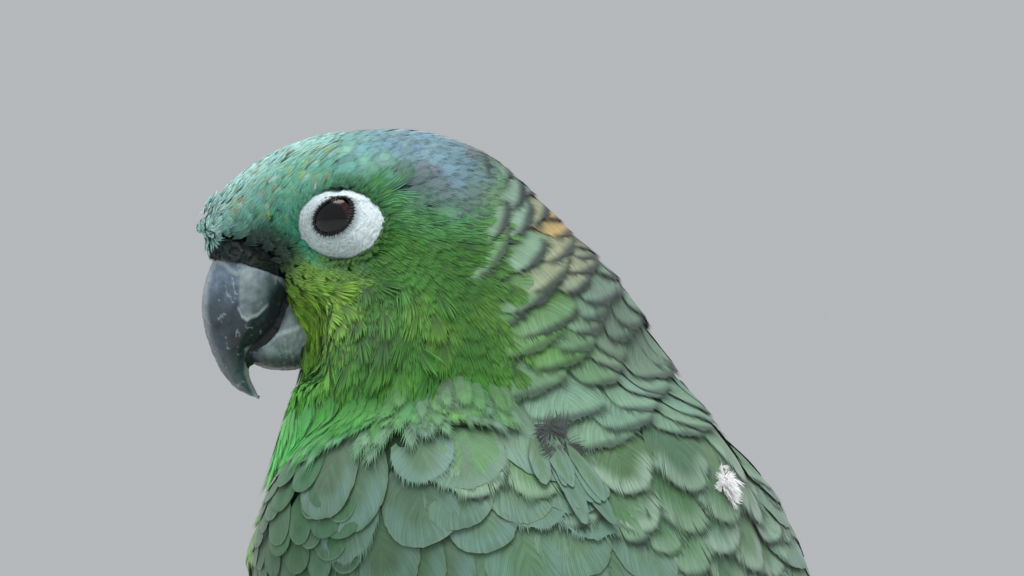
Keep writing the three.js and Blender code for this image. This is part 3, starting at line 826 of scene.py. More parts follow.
def mesh_from(name, points, rows):
    """A mesh from points and rows of four corners, the last -1 in a triangle."""
    mesh = bpy.data.meshes.new(name)
    sizes = np.where(rows[:, 3] == -1, 3, 4)
    corners = rows[rows >= 0]
    mesh.vertices.add(len(points))
    mesh.loops.add(len(corners))
    mesh.polygons.add(len(rows))
    mesh.vertices.foreach_set("co", points.astype(np.float32).ravel())
    mesh.loops.foreach_set("vertex_index", corners.astype(np.int32))
    mesh.polygons.foreach_set("loop_start", np.concatenate([[0], np.cumsum(sizes)[:-1]]).astype(np.int32))
    mesh.update(calc_edges=True)
    mesh.validate()
    obj = bpy.data.objects.new(name, mesh)
    bpy.context.collection.objects.link(obj)
    return obj


def give_uv(mesh, **layers):
    corner = np.empty(len(mesh.loops), np.int32)
    mesh.loops.foreach_get("vertex_index", corner)
    for layer, values in layers.items():
        mesh.uv_layers.new(name=layer).data.foreach_set("uv", values[corner].astype(np.float32).ravel())


def lay(name, masters, paths, ups, widths, heights, tints, rims, material, slot, nodes=(), seed=1, onto=None,
        zones=None):
    """One joined mesh of feathers. heights are each feather's heights over its path at root and tip, onto
    is a surface that broad feathers are bent round, and zones are the colours inside their rims."""
    rng = np.random.default_rng(seed)
    count, steps = len(paths), paths.shape[1] - 1
    ahead = unit(np.gradient(paths, axis=1))
    which = rng.integers(0, len(masters), count)
    flip = rng.choice((-1.0, 1.0), count)
    roots_uv = bake_place(paths[:, 0])
    made = {key: [] for key in ("points", "faces", "tint", "rim", "zone", "vane", "bake")}
    total = 0
    for m, master in enumerate(masters):
        mine = np.flatnonzero(which == m)
        if not len(mine):
            continue
        local = master["points"]
        size = len(local)
        level = np.clip(local[:, 1], 0, 1) * steps
        low = np.minimum(level.astype(int), steps - 1)
        part = (level - low)[None, :, None]

        def between(rows):
            return rows[mine][:, low] * (1 - part) + rows[mine][:, low + 1] * part

        centre, up, fore = between(paths), unit(between(ups)), unit(between(ahead))
        across = unit(np.cross(fore, up))
        half = widths[mine, None, None] / 2
        flat = centre + across * local[None, :, 0, None] * flip[mine, None, None] * half
        if onto is not None:
            near, round_up = onto.nearest(flat.reshape(-1, 3))
            flat = near.reshape(flat.shape)
            up = unit(up + round_up.reshape(flat.shape))
        foot, tip = heights
        lift = foot[mine, None, None] + (tip - foot)[mine, None, None] * local[None, :, 1, None] ** 0.8
        points = flat + up * (lift + local[None, :, 2, None] * half)
        faces = np.array([face if len(face) == 4 else (*face, -1) for face in master["faces"]])
        moved = faces[None] + (total + size * np.arange(len(mine)))[:, None, None]
        moved[:, faces == -1] = -1
        reverse = flip[mine] < 0
        moved[reverse] = reversed_faces(moved[reverse])
        total += size * len(mine)
        spread = np.column_stack([local[:, 0] * 0.5, local[:, 1] - 0.5]) * PATCH
        made["points"].append(points.reshape(-1, 3))
        made["faces"].append(moved.reshape(-1, 4))
        # The feathers' colours carry their masters' painted shade towards the foot.
        made["tint"].append((tints[mine, None] * master["shade"][None, :, None]).reshape(-1, 3))
        made["rim"].append(np.repeat(rims[mine], size, 0))
        made["zone"].append(np.repeat((tints if zones is None else zones)[mine], size, 0))
        made["vane"].append(np.tile(master["places"], (len(mine), 1)))
        made["bake"].append((roots_uv[mine, None] + spread[None]).reshape(-1, 2))
    made = {key: np.concatenate(parts) for key, parts in made.items()}
    obj = mesh_from(name, made["points"], made["faces"])
    paint(obj.data, "tint", made["tint"])
    paint(obj.data, "rim", made["rim"])
    if zones is not None:
        paint(obj.data, "zone", made["zone"])
    give_uv(obj.data, OFBake=made["bake"], Vane=made["vane"])
    shade_smooth(obj)
    return finish_piece(obj, slot, material, *nodes)


def varied(rng, count, middle, spread):
    return middle * (1 + rng.uniform(-spread, spread, count))


def tinted(rng, tints, dark=0.12, hue=0.05):
    """Each feather a little lighter or darker, and a little warmer or cooler, than its neighbours."""
    light = 1 + rng.normal(0, dark, (len(tints), 1))
    warm = 1 + rng.normal(0, hue, (len(tints), 1)) * np.array([[1.0, 0.2, -1.0]])
    return np.clip(tints * light * warm, 0, 1)


# ---- Tracts ----
def clear_of_bare(points):
    reach, _ = ring_reach(points)
    return (reach > 0.84) & (bare_parts.distance(points) > 0.15 * MM)


def under_wing(points):
    return wing_shell.distance(points) < 2.2 * MM


FACE, CROWN, CHEEK, THROAT, NAPE, MANTLE, BREAST, BELLY, THIGH, RUMP, VENT, LORES = range(12)


def tract_of(points):
    """The tract at each place."""
    _, back, up = seen_from(HEAD, points).T
    _, behind, above = seen_from(TRUNK, points).T
    made = np.full(len(points), CHEEK)
    made[(back < 6) & (up > -16)] = FACE
    made[(up > np.interp(back, *CROWN_FOOT)) & (back > -2)] = CROWN
    made[(up < -34 - 0.1 * back) & (back < 24)] = THROAT
    made[from_lores(back, up) < 5.0] = LORES
    made[over_nape(back, up) > np.where(made == CROWN, 0.5, 5)] = NAPE
    low = collar(points) < 0
    front = low & (above < -4 - 0.12 * np.maximum(-behind, 0))
    legs = (points[:, 2] < 0.186) & (np.abs(points[:, 0]) > 0.008) & (points[:, 1] < 0.012)
    made[low] = MANTLE
    made[front] = BREAST
    made[front & (behind > -8)] = BELLY
    made[low & ~front & (behind > 42)] = RUMP
    made[low & (behind > 58) & (above < 0)] = VENT
    made[low & legs & (above < -30)] = THIGH
    return made


def in_tracts(*numbers):
    return lambda points: np.isin(tract_of(points), numbers) & clear_of_bare(points)


def out_of_wing(*numbers):
    return lambda points: in_tracts(*numbers)(points) & ~under_wing(points)


def around(middle, reach_mm):
    return lambda points: np.linalg.norm(points - middle, axis=1) < reach_mm * MM


def tract(name, surface, keep, sizes, heights, masters, material, slot, seed, yaw=0.12, dark=0.1, hue=0.04,
          rims=None, steps=3, recolour=None, bent=False, layer=0.0, crowd=6, by_tip=False,
          zones=None, sunk=None, uneven=0.15):
    """One tract of feathers. sizes are its spacing, length and width, and heights those of a feather's root
    and tip over the surface, all in millimetres. Its colours are those of the roots' places or the tips'.
    Bent feathers lie evenly, so that they slide over each other and don't cut through."""
    spacing, length, width = sizes
    rng = np.random.default_rng(seed)
    roots, normals = scatter(surface, spacing * MM, keep, seed, crowd)
    count = len(roots)
    lengths = varied(rng, count, length * MM, uneven)
    widths = varied(rng, count, width * MM, 0.15)
    paths, ups = trace(surface, roots, normals, lengths, rng.normal(0, yaw, count), steps)
    shown = paths[:, -1] if by_tip else roots
    base = plumage(shown)
    if recolour is not None:
        base = recolour(shown, base, rng)
    tints = tinted(rng, base, dark, hue)
    edge = tints * 0.85 if rims is None else rims(shown, tints, rng)
    over = rng.uniform(-layer, layer, count) * MM
    if sunk is not None:
        over = over - sunk(shown) * MM
    low, high = (varied(rng, count, h * MM, 0.03 if bent else 0.2) + over for h in heights)
    zone = None if zones is None else zones(shown, tints, rng)
    return lay(name, masters, paths, ups, widths, (low, high), tints, edge, material, slot, seed=seed,
               onto=surface if bent else None, zones=zone)


# Loose small feathers show no seams. Broad ones do, and those of the back have a zone or a rim of their own.
face_barbs = plumage_material("face_feather_barbs", 1, 0.5, 0.0, 0.0, 0.7, 0.15)
bristle_barbs = plumage_material("dark_bristles", 1, 0.6, 0.0, 0.0, 0.75, 0.0)
crown_barbs = plumage_material("crown_feather_barbs", 10, 0.6, 0.1, 0.35, 0.6, 0.15)
nape_barbs = plumage_material("nape_feather_barbs", 24, 0.62, 0.1, 0.5, 0.65, 0.1, 0.15, 0.84, 0.25, 2)
mantle_barbs = plumage_material("mantle_feather_barbs", 28, 0.68, 0.1, 0.45, 0.6, 0.15, 0.2, 0.88, 0.5, 2)
body_barbs = plumage_material("body_feather_barbs", 12, 0.45, 0.1, 0.22, 0.55, 0.2)

tufts = several(fan, 6, 11, 2)
locks = several(fan, 6, 11, 3, first=10, foot=0.4, ragged=0.1)
scales = several(vane, 6, 10, first=20, shaft=0, levels=2, fringe=0.5, ragged=0.2, power=3.2, camber=0.03,
                 slender=3.0)
broad = several(vane, 6, 24, first=30, shaft=0, levels=3, fringe=0.16, ragged=0.12, camber=0.0, power=3.2,
                widest=0.72, slender=1.9, wave=0.004, rimmed=0.4, base=0.55, reach=0.66)
mantle_vanes = several(vane, 8, 28, first=60, shaft=0.01, levels=4, fringe=0.16, ragged=0.12, power=2.4,
                       slits=2, slender=2.9, camber=0.01, wave=0.006, rimmed=0.3)
smooth_vanes = several(vane, 8, 16, first=70, shaft=0.01, levels=3, fringe=0.25, ragged=0.01, power=2.2,
                       reach=0.45, camber=0.01, slender=2.6, root_shade=0.8, frayed=False, wave=0.006)
SHOULDER = {"shaft": 0.008, "power": 2.3, "camber": 0.0, "slender": 2.8, "root_shade": 0.8, "wave": 0.008,
            "reach": 0.5, "rimmed": 0.2}
shoulder_vanes = several(vane, 6, 18, first=130, levels=3, ragged=0.025, frayed=False, **SHOULDER)
shoulder_vanes += several(vane, 3, 34, first=136, levels=2, fringe=0.14, ragged=0.14, **SHOULDER)
collar_vanes = several(vane, 6, 14, first=140, shaft=0, levels=2, fringe=0.65, ragged=0.4, power=1.7,
                       slender=4.6, camber=0.02, wave=0.01, reach=0.3, leave=0.6)
body_vanes = several(vane, 5, 12, first=40, shaft=0, levels=2, fringe=0.3, ragged=0.12, slits=1)


def cheek(points):
    """The cheek and side of the neck, whose last feathers thin out in clumps over the nape's first ones."""
    _, back, up = seen_from(HEAD, points).T
    thin = smooth(-8, 5, over_nape(back, up)) * 3.2 - 1.6
    return in_tracts(CHEEK)(points) & (ripple(points / MM, 4, 36) > thin)


def loose_tufts(points):
    """Where bigger tufts stand a little off the cheek."""
    _, back, up = seen_from(HEAD, points).T
    return in_tracts(CHEEK)(points) & (up < -15) & (up > -48) & (back < 26)


def ring_edge(points):
    """The smallest feathers, along the edge of the bare ring round the eye."""
    reach, _ = ring_reach(points)
    return clear_of_bare(points) & (reach > 0.92) & (reach < 1.12)


def fringe(points):
    """The forehead's lowest feathers, which hang over the cere."""
    _, back, up = seen_from(HEAD, points).T
    gap = bare_parts.distance(points) / MM
    return (gap > 0.5) & (gap < 4.2) & (back < -13) & (up > -11)


def gape_edge(points):
    """The cheek's first feathers, along the side of the bill."""
    _, back, up = seen_from(HEAD, points).T
    return (bare_parts.distance(points) / MM < 3.4) & (up < -15) & (up > -46) & (back > -16)


def collar_edge(points):
    """The neck's last feathers, which hang over the tops of the shoulder's."""
    high = collar(points) + 1.8 * ripple(points / MM, 7, 38)
    side, _, above = seen_from(TRUNK, points).T
    return (high > -1) & (high < 7) & (above < 44) & (np.abs(side) > 6)


NAPE_LENGTH = 20.0
FIRST_ROW = 21.4
ROW_GROWS = 1.16


def nape_row(points):
    """Narrow rings round the neck's axis, where feathers start whose tips line up in rows. Each row is a
    sixth wider than the one before."""
    far, _ = from_neck_axis(points)
    row = np.log((far + NAPE_LENGTH) / FIRST_ROW) / math.log(ROW_GROWS)
    at = seen_from(HEAD, points)[:, 1:]
    tip = at + unit(at - NECK_AXIS) * NAPE_LENGTH
    inside = (over_nape(tip[:, 0], tip[:, 1]) > -8) & (collar(points) > 0) & clear_of_bare(points)
    return inside & (row % 1 < 0.25) & (row > -0.2)


def touched(by, least, most, lift=1.0):
    """Lifts each feather's colour and mixes it, by chance, with another."""
    return lambda places, tints, rng: mix(tints * lift, by, rng.uniform(least, most, len(tints)))


def green_tips(places, tints, rng):
    return mix(tints * 1.06, CHEEK_TIP, 0.22)


def forehead_flecks(roots, base, rng):
    _, back, up = seen_from(HEAD, roots).T
    here = (back < 0) & (up > -4) & (rng.random(len(roots)) < 0.26)
    chosen = np.array(FLECKS)[rng.integers(0, len(FLECKS), len(roots))]
    return mix(base, chosen, here * rng.uniform(0.3, 0.75, len(roots)))


def pale_tips(roots, tints, rng):
    side, _, up = seen_from(HEAD, roots).T
    top = smooth(-6, 6, up) * smooth(18, 4, np.abs(side))
    return mix(tints * 1.2, TEAL_PALE, 0.15 + 0.6 * top)


def nape_rims(tips, tints, rng):
    """Dark slate ends, that fade towards the cheek and come back in the row over the collar."""
    _, back, up = seen_from(HEAD, tips).T
    ends = smooth(-46, -22, up) * smooth(-6, 3, over_nape(back, up))
    dark = np.maximum(ends, 0.7 * smooth(12, 5, collar(tips)))
    return mix(tints * 0.85, NAPE_DARK, dark * rng.uniform(0.8, 1.0, len(tints)))


def under_cheek(tips):
    """The nape's first feathers lie under the cheek's last ones."""
    _, back, up = seen_from(HEAD, tips).T
    return 0.6 * smooth(7, -1, over_nape(back, up))


def nape_spot(places, tints, rng):
    """The yellow spot on the nape, and its faint glow in the row below."""
    side, back, up = seen_from(HEAD, places).T
    near = smooth(6, 3, np.hypot(back - 55, up + 4.5)) * smooth(20, 10, np.abs(side)) * 0.85
    warm = smooth(9, 3, np.hypot(back - 60, up + 13)) * 0.12
    return mix(tints, SPOT_YELLOW, np.maximum(near, warm) * rng.uniform(0.6, 1, len(places)))


def nape_zones(tips, tints, rng):
    _, back, up = seen_from(HEAD, tips).T
    pale = smooth(-4, 14, over_nape(back, up)) * smooth(-44, -14, up)
    zones = mix(tints * 1.12, NAPE_PALE, (0.05 + 0.32 * pale) * rng.uniform(0.5, 1.0, len(tints)))
    return nape_spot(tips, zones, rng)


def collar_tint(roots, base, rng):
    """The green of the neck, greying towards the back like the shoulder below."""
    _, back, _ = seen_from(HEAD, roots).T
    return mix(base, MANTLE_GREY * 0.72, smooth(4, 26, back) * rng.uniform(0.4, 0.9, len(roots)))


tract("face_feathers", form, in_tracts(FACE), (1.15, 4.6, 2.6), (-0.8, 0.1), tufts, face_barbs,
      "face_plumage", 101, rims=pale_tips, recolour=forehead_flecks, dark=0.07)
tract("ring_edge_feathers", form, ring_edge, (0.8, 2.4, 1.3), (-0.1, 0.4), tufts, face_barbs,
      "face_plumage", 118, yaw=0.4)
tract("forehead_fringe", brow, fringe, (1.2, 5.3, 2.8), (-0.3, 0.6), tufts, face_barbs,
      "face_plumage", 113, rims=pale_tips, recolour=forehead_flecks, yaw=0.25)
tract("cowlick_tuft", brow, around(COWLICK, 5.0), (0.9, 4.6, 2.6), (-0.1, 0.9), tufts, face_barbs,
      "face_plumage", 117, rims=pale_tips, yaw=1.0)
tract("lore_bristles", form, in_tracts(LORES), (1.0, 3.4, 1.4), (-0.6, 0.1), tufts, bristle_barbs,
      "face_plumage", 111, yaw=0.25, dark=0.2)
tract("crown_feathers", form, in_tracts(CROWN), (2.1, 8.4, 5.4), (-1.1, 0.1), scales, crown_barbs,
      "face_plumage", 102, yaw=0.1, rims=touched(CROWN_PALE, 0.25, 0.9, 1.1), dark=0.09, steps=4, bent=True,
      layer=0.08)
tract("cheek_feathers", form, cheek, (1.45, 8.0, 3.6), (-0.9, 0.05), locks, face_barbs,
      "face_plumage", 103, dark=0.05, hue=0.03, rims=green_tips)
tract("cheek_tufts", form, loose_tufts, (5.2, 12.0, 5.6), (-0.6, 0.9), locks, face_barbs,
      "face_plumage", 116, yaw=0.35, rims=green_tips, steps=4)
tract("throat_feathers", form, in_tracts(THROAT), (1.9, 11.0, 4.4), (-1.4, 0.1), locks, face_barbs,
      "face_plumage", 104, dark=0.06, rims=green_tips)
tract("nape_feathers", form, nape_row, (6.2, NAPE_LENGTH, 21.0), (-2.3, 0.2), broad, nape_barbs,
      "nape_plumage", 105, rims=nape_rims, steps=5, yaw=0.03, recolour=nape_spot, bent=True, layer=0.12,
      dark=0.05, hue=0.02, crowd=30, by_tip=True, zones=nape_zones, sunk=under_cheek, uneven=0.03)
tract("mantle_feathers", cloak, out_of_wing(MANTLE), (7.6, 31.0, 21.0), (-2.6, 0.3), mantle_vanes,
      mantle_barbs, "body_plumage", 106, steps=6, yaw=0.1, rims=touched(NAPE_DARK, 0.4, 0.95), bent=True,
      layer=0.3, recolour=touched(MANTLE_GREEN * 0.8, 0.2, 0.9), zones=touched(MANTLE_PALE, 0.35, 0.85, 1.1))
tract("breast_feathers", form, out_of_wing(BREAST), (5.0, 16.0, 12.0), (-2.2, 0.2), body_vanes, body_barbs,
      "body_plumage", 107, steps=5, bent=True, layer=0.15, dark=0.06)
tract("belly_feathers", form, out_of_wing(BELLY), (6.0, 20.0, 14.0), (-2.6, 0.3), body_vanes, body_barbs,
      "body_plumage", 108, steps=5, bent=True, layer=0.2, dark=0.06)
tract("thigh_feathers", form, in_tracts(THIGH), (4.0, 12.0, 7.0), (-2.0, 0.2), body_vanes, body_barbs,
      "body_plumage", 109, steps=4)
tract("rump_feathers", rear, lambda p: out_of_wing(RUMP, VENT)(p) & (seen_from(TRUNK, p)[:, 1] < 118),
      (7.0, 30.0, 15.0), (-2.4, 0.3), body_vanes, body_barbs, "body_plumage", 110, steps=6, bent=True,
      layer=0.2)
tract("gape_feathers", form, gape_edge, (1.1, 5.6, 2.4), (-0.2, 0.7), tufts, face_barbs,
      "face_plumage", 115, rims=green_tips, yaw=0.3)
tract("collar_feathers", cloak, collar_edge, (1.9, 12.0, 5.0), (-0.8, 0.8), collar_vanes, crown_barbs,
      "face_plumage", 114, rims=lambda roots, tints, rng: tints, dark=0.07, yaw=0.1, steps=4,
      recolour=collar_tint, layer=0.15, uneven=0.3)

# ---- Wings ----
SHELL_REACH = 130.0
SHELL_NEAR = 100.0
QUILL_SUNK = 2.4


def on_wing(side, along, angle):
    """Places and outward normals on a folded wing, along the spine in millimetres and round it in degrees
    from the middle of the back."""
    places, ups = [], []
    turn = TRUNK.to_3x3()
    for y, a in zip(np.ravel(along), np.ravel(np.radians(angle))):
        aside = hand_of(side) * math.sin(a)
        out = turn @ Vector((aside, 0, math.cos(a)))
        start = TRUNK @ (Vector((aside * SHELL_REACH, y, math.cos(a) * SHELL_REACH)) * MM)
        hit, normal, _, _ = wing_shell.tree.ray_cast(start, -out)
        if hit is None:
            hit, normal, _, _ = wing_shell.tree.find_nearest(start - out * SHELL_NEAR * MM)
            normal = out
        places.append(hit)
        ups.append(normal)
    shape = (*np.shape(along), 3)
    return np.array(places).reshape(shape), np.array(ups).reshape(shape)


def eased(rows, rounds):
    """Rows of places or normals along feathers, each run smoothed between its ends."""
    rows = rows.copy()
    for _ in range(rounds):
        rows[:, 1:-1] = 0.25 * rows[:, :-2] + 0.5 * rows[:, 1:-1] + 0.25 * rows[:, 2:]
    return rows


def wing_rows(side, name, node, rows, width, rise, masters, base, rims, material, seed, steps, layers):
    """Feathers in rows on a wing. Each has its root and tip, along the spine and round it, and its layer."""
    rng = np.random.default_rng(seed)
    root, tip, layer = (np.array(column, float) for column in zip(*rows))
    share = np.linspace(0, 1, steps + 1)
    along = root[:, :1] + (tip[:, :1] - root[:, :1]) * share
    angle = root[:, 1:] + (tip[:, 1:] - root[:, 1:]) * share**0.9
    paths, ups = on_wing(side, along, angle)
    paths, ups = eased(paths, 3), unit(eased(ups, 6))
    tints = tinted(rng, alike(base, len(rows)), 0.06, 0.03)
    widths = varied(rng, len(rows), 1.0, 0.04) * width * MM
    high = layer * layers * MM
    return lay(f"wing_{side}_{name}", masters, paths, ups, widths, (high - QUILL_SUNK * MM, high + rise * MM),
               tints, alike(rims, len(rows)), material, "wing_plumage", (f"wing_{side}_{node}",), seed=seed,
               zones=mix(tints, MANTLE_BLUE, 0.6))


def primary(i):
    s = i / 9
    return (22 + 14 * s, 128 - 40 * s), (162 - 66 * s**1.4, 28 + 14 * s), i


def secondary(i):
    s = i / 10
    return (4 + 6 * s, 118 - 84 * s), (84 + 24 * s**1.5, 96 - 84 * s), i


def greater_covert(row, i):
    s = (i + 0.5 * row) / 11
    root = 2 - 16 * row
    return (root + 4 * s, 128 - 74 * s), (root + (30 - 8 * row) + 6 * s, 120 - 74 * s), i + 6 * row


def round_back(points):
    """Millimetres along the spine, and degrees round it from the middle of the back."""
    side, behind, above = seen_from(TRUNK, points).T
    return behind, np.degrees(np.arctan2(np.abs(side), above))


def shoulder_line(along):
    """The angle round the back where the broad shoulder feathers end and the small coverts begin."""
    return 81 + 0.4 * np.clip(along + 39, 0, 45)


def lesser(side):
    """The small coverts at the bend of a wing."""

    def keep(points):
        along, angle = round_back(points)
        near = wing_shell.distance(points) < 2.5 * MM
        return near & (along < 4) & (angle > shoulder_line(along)) & (points[:, 0] * hand_of(side) > 0)

    return keep


def scapular(side):
    """The broad shoulder feathers over the top of a wing."""

    def keep(points):
        along, angle = round_back(points)
        near = wing_shell.distance(points) < (2.5 + 7 * smooth(-14, 0, collar(points))) * MM
        behind = (along < 64 - 0.3 * np.maximum(angle - 40, 0)) & (collar(points) < 2)
        over = (angle < shoulder_line(along) - 3) & (angle > 20)
        return near & behind & over & (points[:, 0] * hand_of(side) > 0)

    return keep


def shoulder_tint(roots, base, rng):
    return mix(SHOULDER_GREEN, MANTLE_GREY, rng.uniform(0.0, 0.3, len(roots))) * 0.72


def scapular_tint(roots, base, rng):
    """Powdery green, painted darker towards the bend of the wing as shade that tones down the front lamp's
    light there.
    """
    _, angle = round_back(roots)
    tints = mix(MANTLE_GREY, MANTLE_GREEN, rng.uniform(0.25, 0.65, len(roots)))
    return tints * (0.8 - 0.2 * smooth(55, 80, angle))[:, None]


scapular_zones = touched(MANTLE_BLUE * 1.1, 0.25, 0.65, 1.15)
scapular_rims = touched(MANTLE_PALE, 0.05, 0.3, 0.9)
quill_barbs = plumage_material("wing_quill_vanes", 50, 0.86, 0.1, 0.2, 0.45, 0.1)
covert_barbs = plumage_material("wing_covert_vanes", 16, 0.86, 0.1, 0.36, 0.55, 0.2, 0.3, 1.0, 0.0, 2)
tail_barbs = plumage_material("tail_quill_vanes", 50, -0.6, 0.45, 0.2, 0.45, 0.1)
quills = several(vane, 4, 50, first=50, shaft=0.04, levels=3, fringe=0.05, reach=0.2, base=0.62, widest=0.45,
                 ragged=0.015, wave=0.02, root_shade=0.85, leave=0.93)

for side in SIDES:
    wing_rows(side, "primary_feathers", "primaries", [primary(i) for i in range(10)], 19.0, 0.0, quills,
              QUILL_GREEN, PRIMARY_BLUE, quill_barbs, 220, 14, 0.12)
    wing_rows(side, "secondary_feathers", "secondaries", [secondary(i) for i in range(11)], 24.0, -0.6,
              quills, WING_GREEN, SECONDARY_EDGE, quill_barbs, 210, 12, 0.12)
    covert_rows = [greater_covert(row, i) for row in (0, 1) for i in range(8 - row)]
    wing_rows(side, "greater_coverts", "coverts", covert_rows, 19.0, 0.2, smooth_vanes, COVERT_GREEN,
              MANTLE_GREY, covert_barbs, 230, 6, 0.06)
    tract(f"wing_{side}_lesser_coverts", cloak, lesser(side), (4.6, 14.0, 9.5), (-1.6, 0.3), smooth_vanes,
          covert_barbs, "wing_plumage", 241, steps=4, recolour=shoulder_tint, rims=scapular_rims, bent=True,
          layer=0.15, zones=touched(MANTLE_GREY, 0, 0.2))
    tract(f"scapulars_{side}", cloak, scapular(side), (7.0, 27.0, 19.0), (-2.2, 0.3), shoulder_vanes,
          covert_barbs, "body_plumage", 242, steps=6, recolour=scapular_tint, rims=scapular_rims, bent=True,
          layer=0.2, dark=0.05, hue=0.015, zones=scapular_zones)

# ---- Tail ----
TAIL_ROOT = 70.0
TAIL_LENGTH = 132.0
TAIL_STEPS = 8
TAIL_WIDTH = 25.0
# Each tail node's pairs of feathers, counted from the middle, and the sides it has of them.
TAIL_FANS = (
    ("tail_middle", (0,), (1, -1)),
    ("tail_left", range(1, 6), (1,)),
    ("tail_right", range(1, 6), (-1,)),
)


def tail():
    share = np.linspace(0, 1, TAIL_STEPS + 1)
    for node, pairs, hands in TAIL_FANS:
        paths = []
        for pair in pairs:
            turn = math.radians(1.2 * pair + 1.0)
            length = TAIL_LENGTH - 1.5 * pair - 0.8 * pair**2
            for hand in hands:
                x = hand * (1.6 * pair + 3 + np.sin(turn) * length * share)
                z = 5.5 - 1.0 * pair - 0.3 * (hand < 0) - 3 * share**2
                paths.append([place_in(TRUNK, *at) for at in zip(x, TAIL_ROOT + length * share, z)])
        paths = np.array(paths)
        count = len(paths)
        ups = np.broadcast_to(direction_in(TRUNK, 0, 0, 1), paths.shape).copy()
        tints = tinted(np.random.default_rng(300), alike(TAIL_GREEN, count), 0.05, 0.03)
        widths = np.full(count, TAIL_WIDTH * MM)
        lay(f"{node}_feathers", quills, paths, ups, widths, np.zeros((2, count)), tints,
            alike(TAIL_TIP, count), tail_barbs, "tail_plumage", (node,), seed=301)


tail()

# ---- Skin ----
# Skin between feather roots: dry, dull and roughened by the quills it holds.
skin_finish = painted_material("feather_skin", 0.85, 3.0, 0.2, 0.8, 0.4, specular=0.2)


def wing_core(side):
    """The arm and hand under the wing's feathers."""
    core = remeshed(f"wing_{side}_core", [node for node in WINGS if side in node], 1.8 * MM, 3, 0.5 * MM)
    along, _ = round_back(points_of(core.data))
    raise_points(core, -(0.5 + 1.1 * smooth(140, 60, along)))
    points = points_of(core.data)
    # Painted shade: the wing's green, darkened for the shade under its feathers.
    paint(core.data, "tint", alike(WING_GREEN * 0.35, len(points)))
    give_uv(core.data, OFBake=bake_place(points))
    finish_piece(shade_smooth(core), "wing_plumage", skin_finish)


def skin():
    """The body's skin, sunk under the coat by its depth, and barest next to the eye rings."""
    _, _, up = seen_from(HEAD, form.points).T
    near, _ = ring_reach(form.points)
    depth = 1.2 + 1.4 * smooth(10, -45, up) + 0.9 * smooth(5, -15, collar(form.points))
    depth = depth * (0.6 + 0.4 * smooth(1.0, 1.5, near))
    put_points(form_object.data, form.points - form.normals * (depth * MM)[:, None])
    # Painted shade: the skin takes the coat's colour darkened, for the shade between the feathers' roots, and
    # is painted lighter next to the eye rings to lift the shadow that falls there.
    paint(form_object.data, "tint", plumage(form.points) * (0.42 + 0.4 * smooth(1.5, 1.1, near))[:, None])
    give_uv(form_object.data, OFBake=bake_place(form.points))
    finish_piece(shade_smooth(form_object), "body_plumage", skin_finish, *FLESH)


for side in SIDES:
    wing_core(side)
skin()

# ---- Bill and cere ----
# Places on the head's side are [forward, up] in millimetres from the point between the eyes.
CULMEN = [(30, -9), (31.9, -16), (32.5, -23), (31.1, -30), (28, -37.2), (24.2, -41.8), (18.3, -44.6)]
TOMIUM = [(9, -16), (11.8, -21), (12.7, -26), (17, -30.4), (20.6, -32.8), (21, -38), (18.3, -44.2)]
CERE_EDGE = [(30.7, -9.8), (26.8, -11.5), (23.9, -13.9), (20.7, -12.9), (17.8, -12.7), (14.3, -14),
             (10.4, -18)]
PATCH_EDGE = [(23.2, -22.6), (22.5, -24.4), (21.2, -25.3), (20.2, -24.6), (18.7, -24.2), (17.4, -22.9),
              (16.4, -21.9)]
WORN_RIM = [(17.5, -31.4), (13.5, -28.5), (9, -27)]
# Of these, the near-black one is painted shade, not a colour of the horn.
HORN_TOP, HORN_SLATE, HORN_TIP, HORN_SHADE = colours("#617383 #2b3944 #465457 #181e23")
HORN_PALE, HORN_LOWER, CERE_DARK = colours("#a5b4b8 #748586 #20282b")
NOSTRIL = (24.4, -8.5)
NOSTRIL_SIZE = 1.5
# Bill horn: keratin that grows in layers and wears smooth, half glossy over a faint grain.
horn_finish = painted_material("worn_bill_horn", 0.42, 1.2, 0.16, 0.35, 0.35, coat=0.1)
# Cere: soft, dark, finely pebbled skin with little shine.
cere_finish = painted_material("cere_skin", 0.6, 0.8, 0.25, 0.3, 0.5)


def head_side(points):
    at = seen_from(HEAD, points)
    return np.column_stack([-at[:, 1], at[:, 2]]), np.abs(at[:, 0])


SCRAPE_MM = 2.4


def scratched(tint, points, seed):
    """Short pale scrapes down the bill, where chance waves cross nought, and small chips."""
    drawn = points / MM * np.array((1, 1, 0.3))
    some = smooth(0.1, 0.5, ripple(points / MM, SCRAPE_MM * 2.2, seed + 1))
    scrapes = smooth(0.09, 0.0, np.abs(ripple(drawn, SCRAPE_MM, seed))) * some
    chips = smooth(2.0, 2.5, ripple(points / MM, 1.2, seed + 2))
    return mix(tint, HORN_PALE, np.maximum(scrapes, chips) * 0.6)


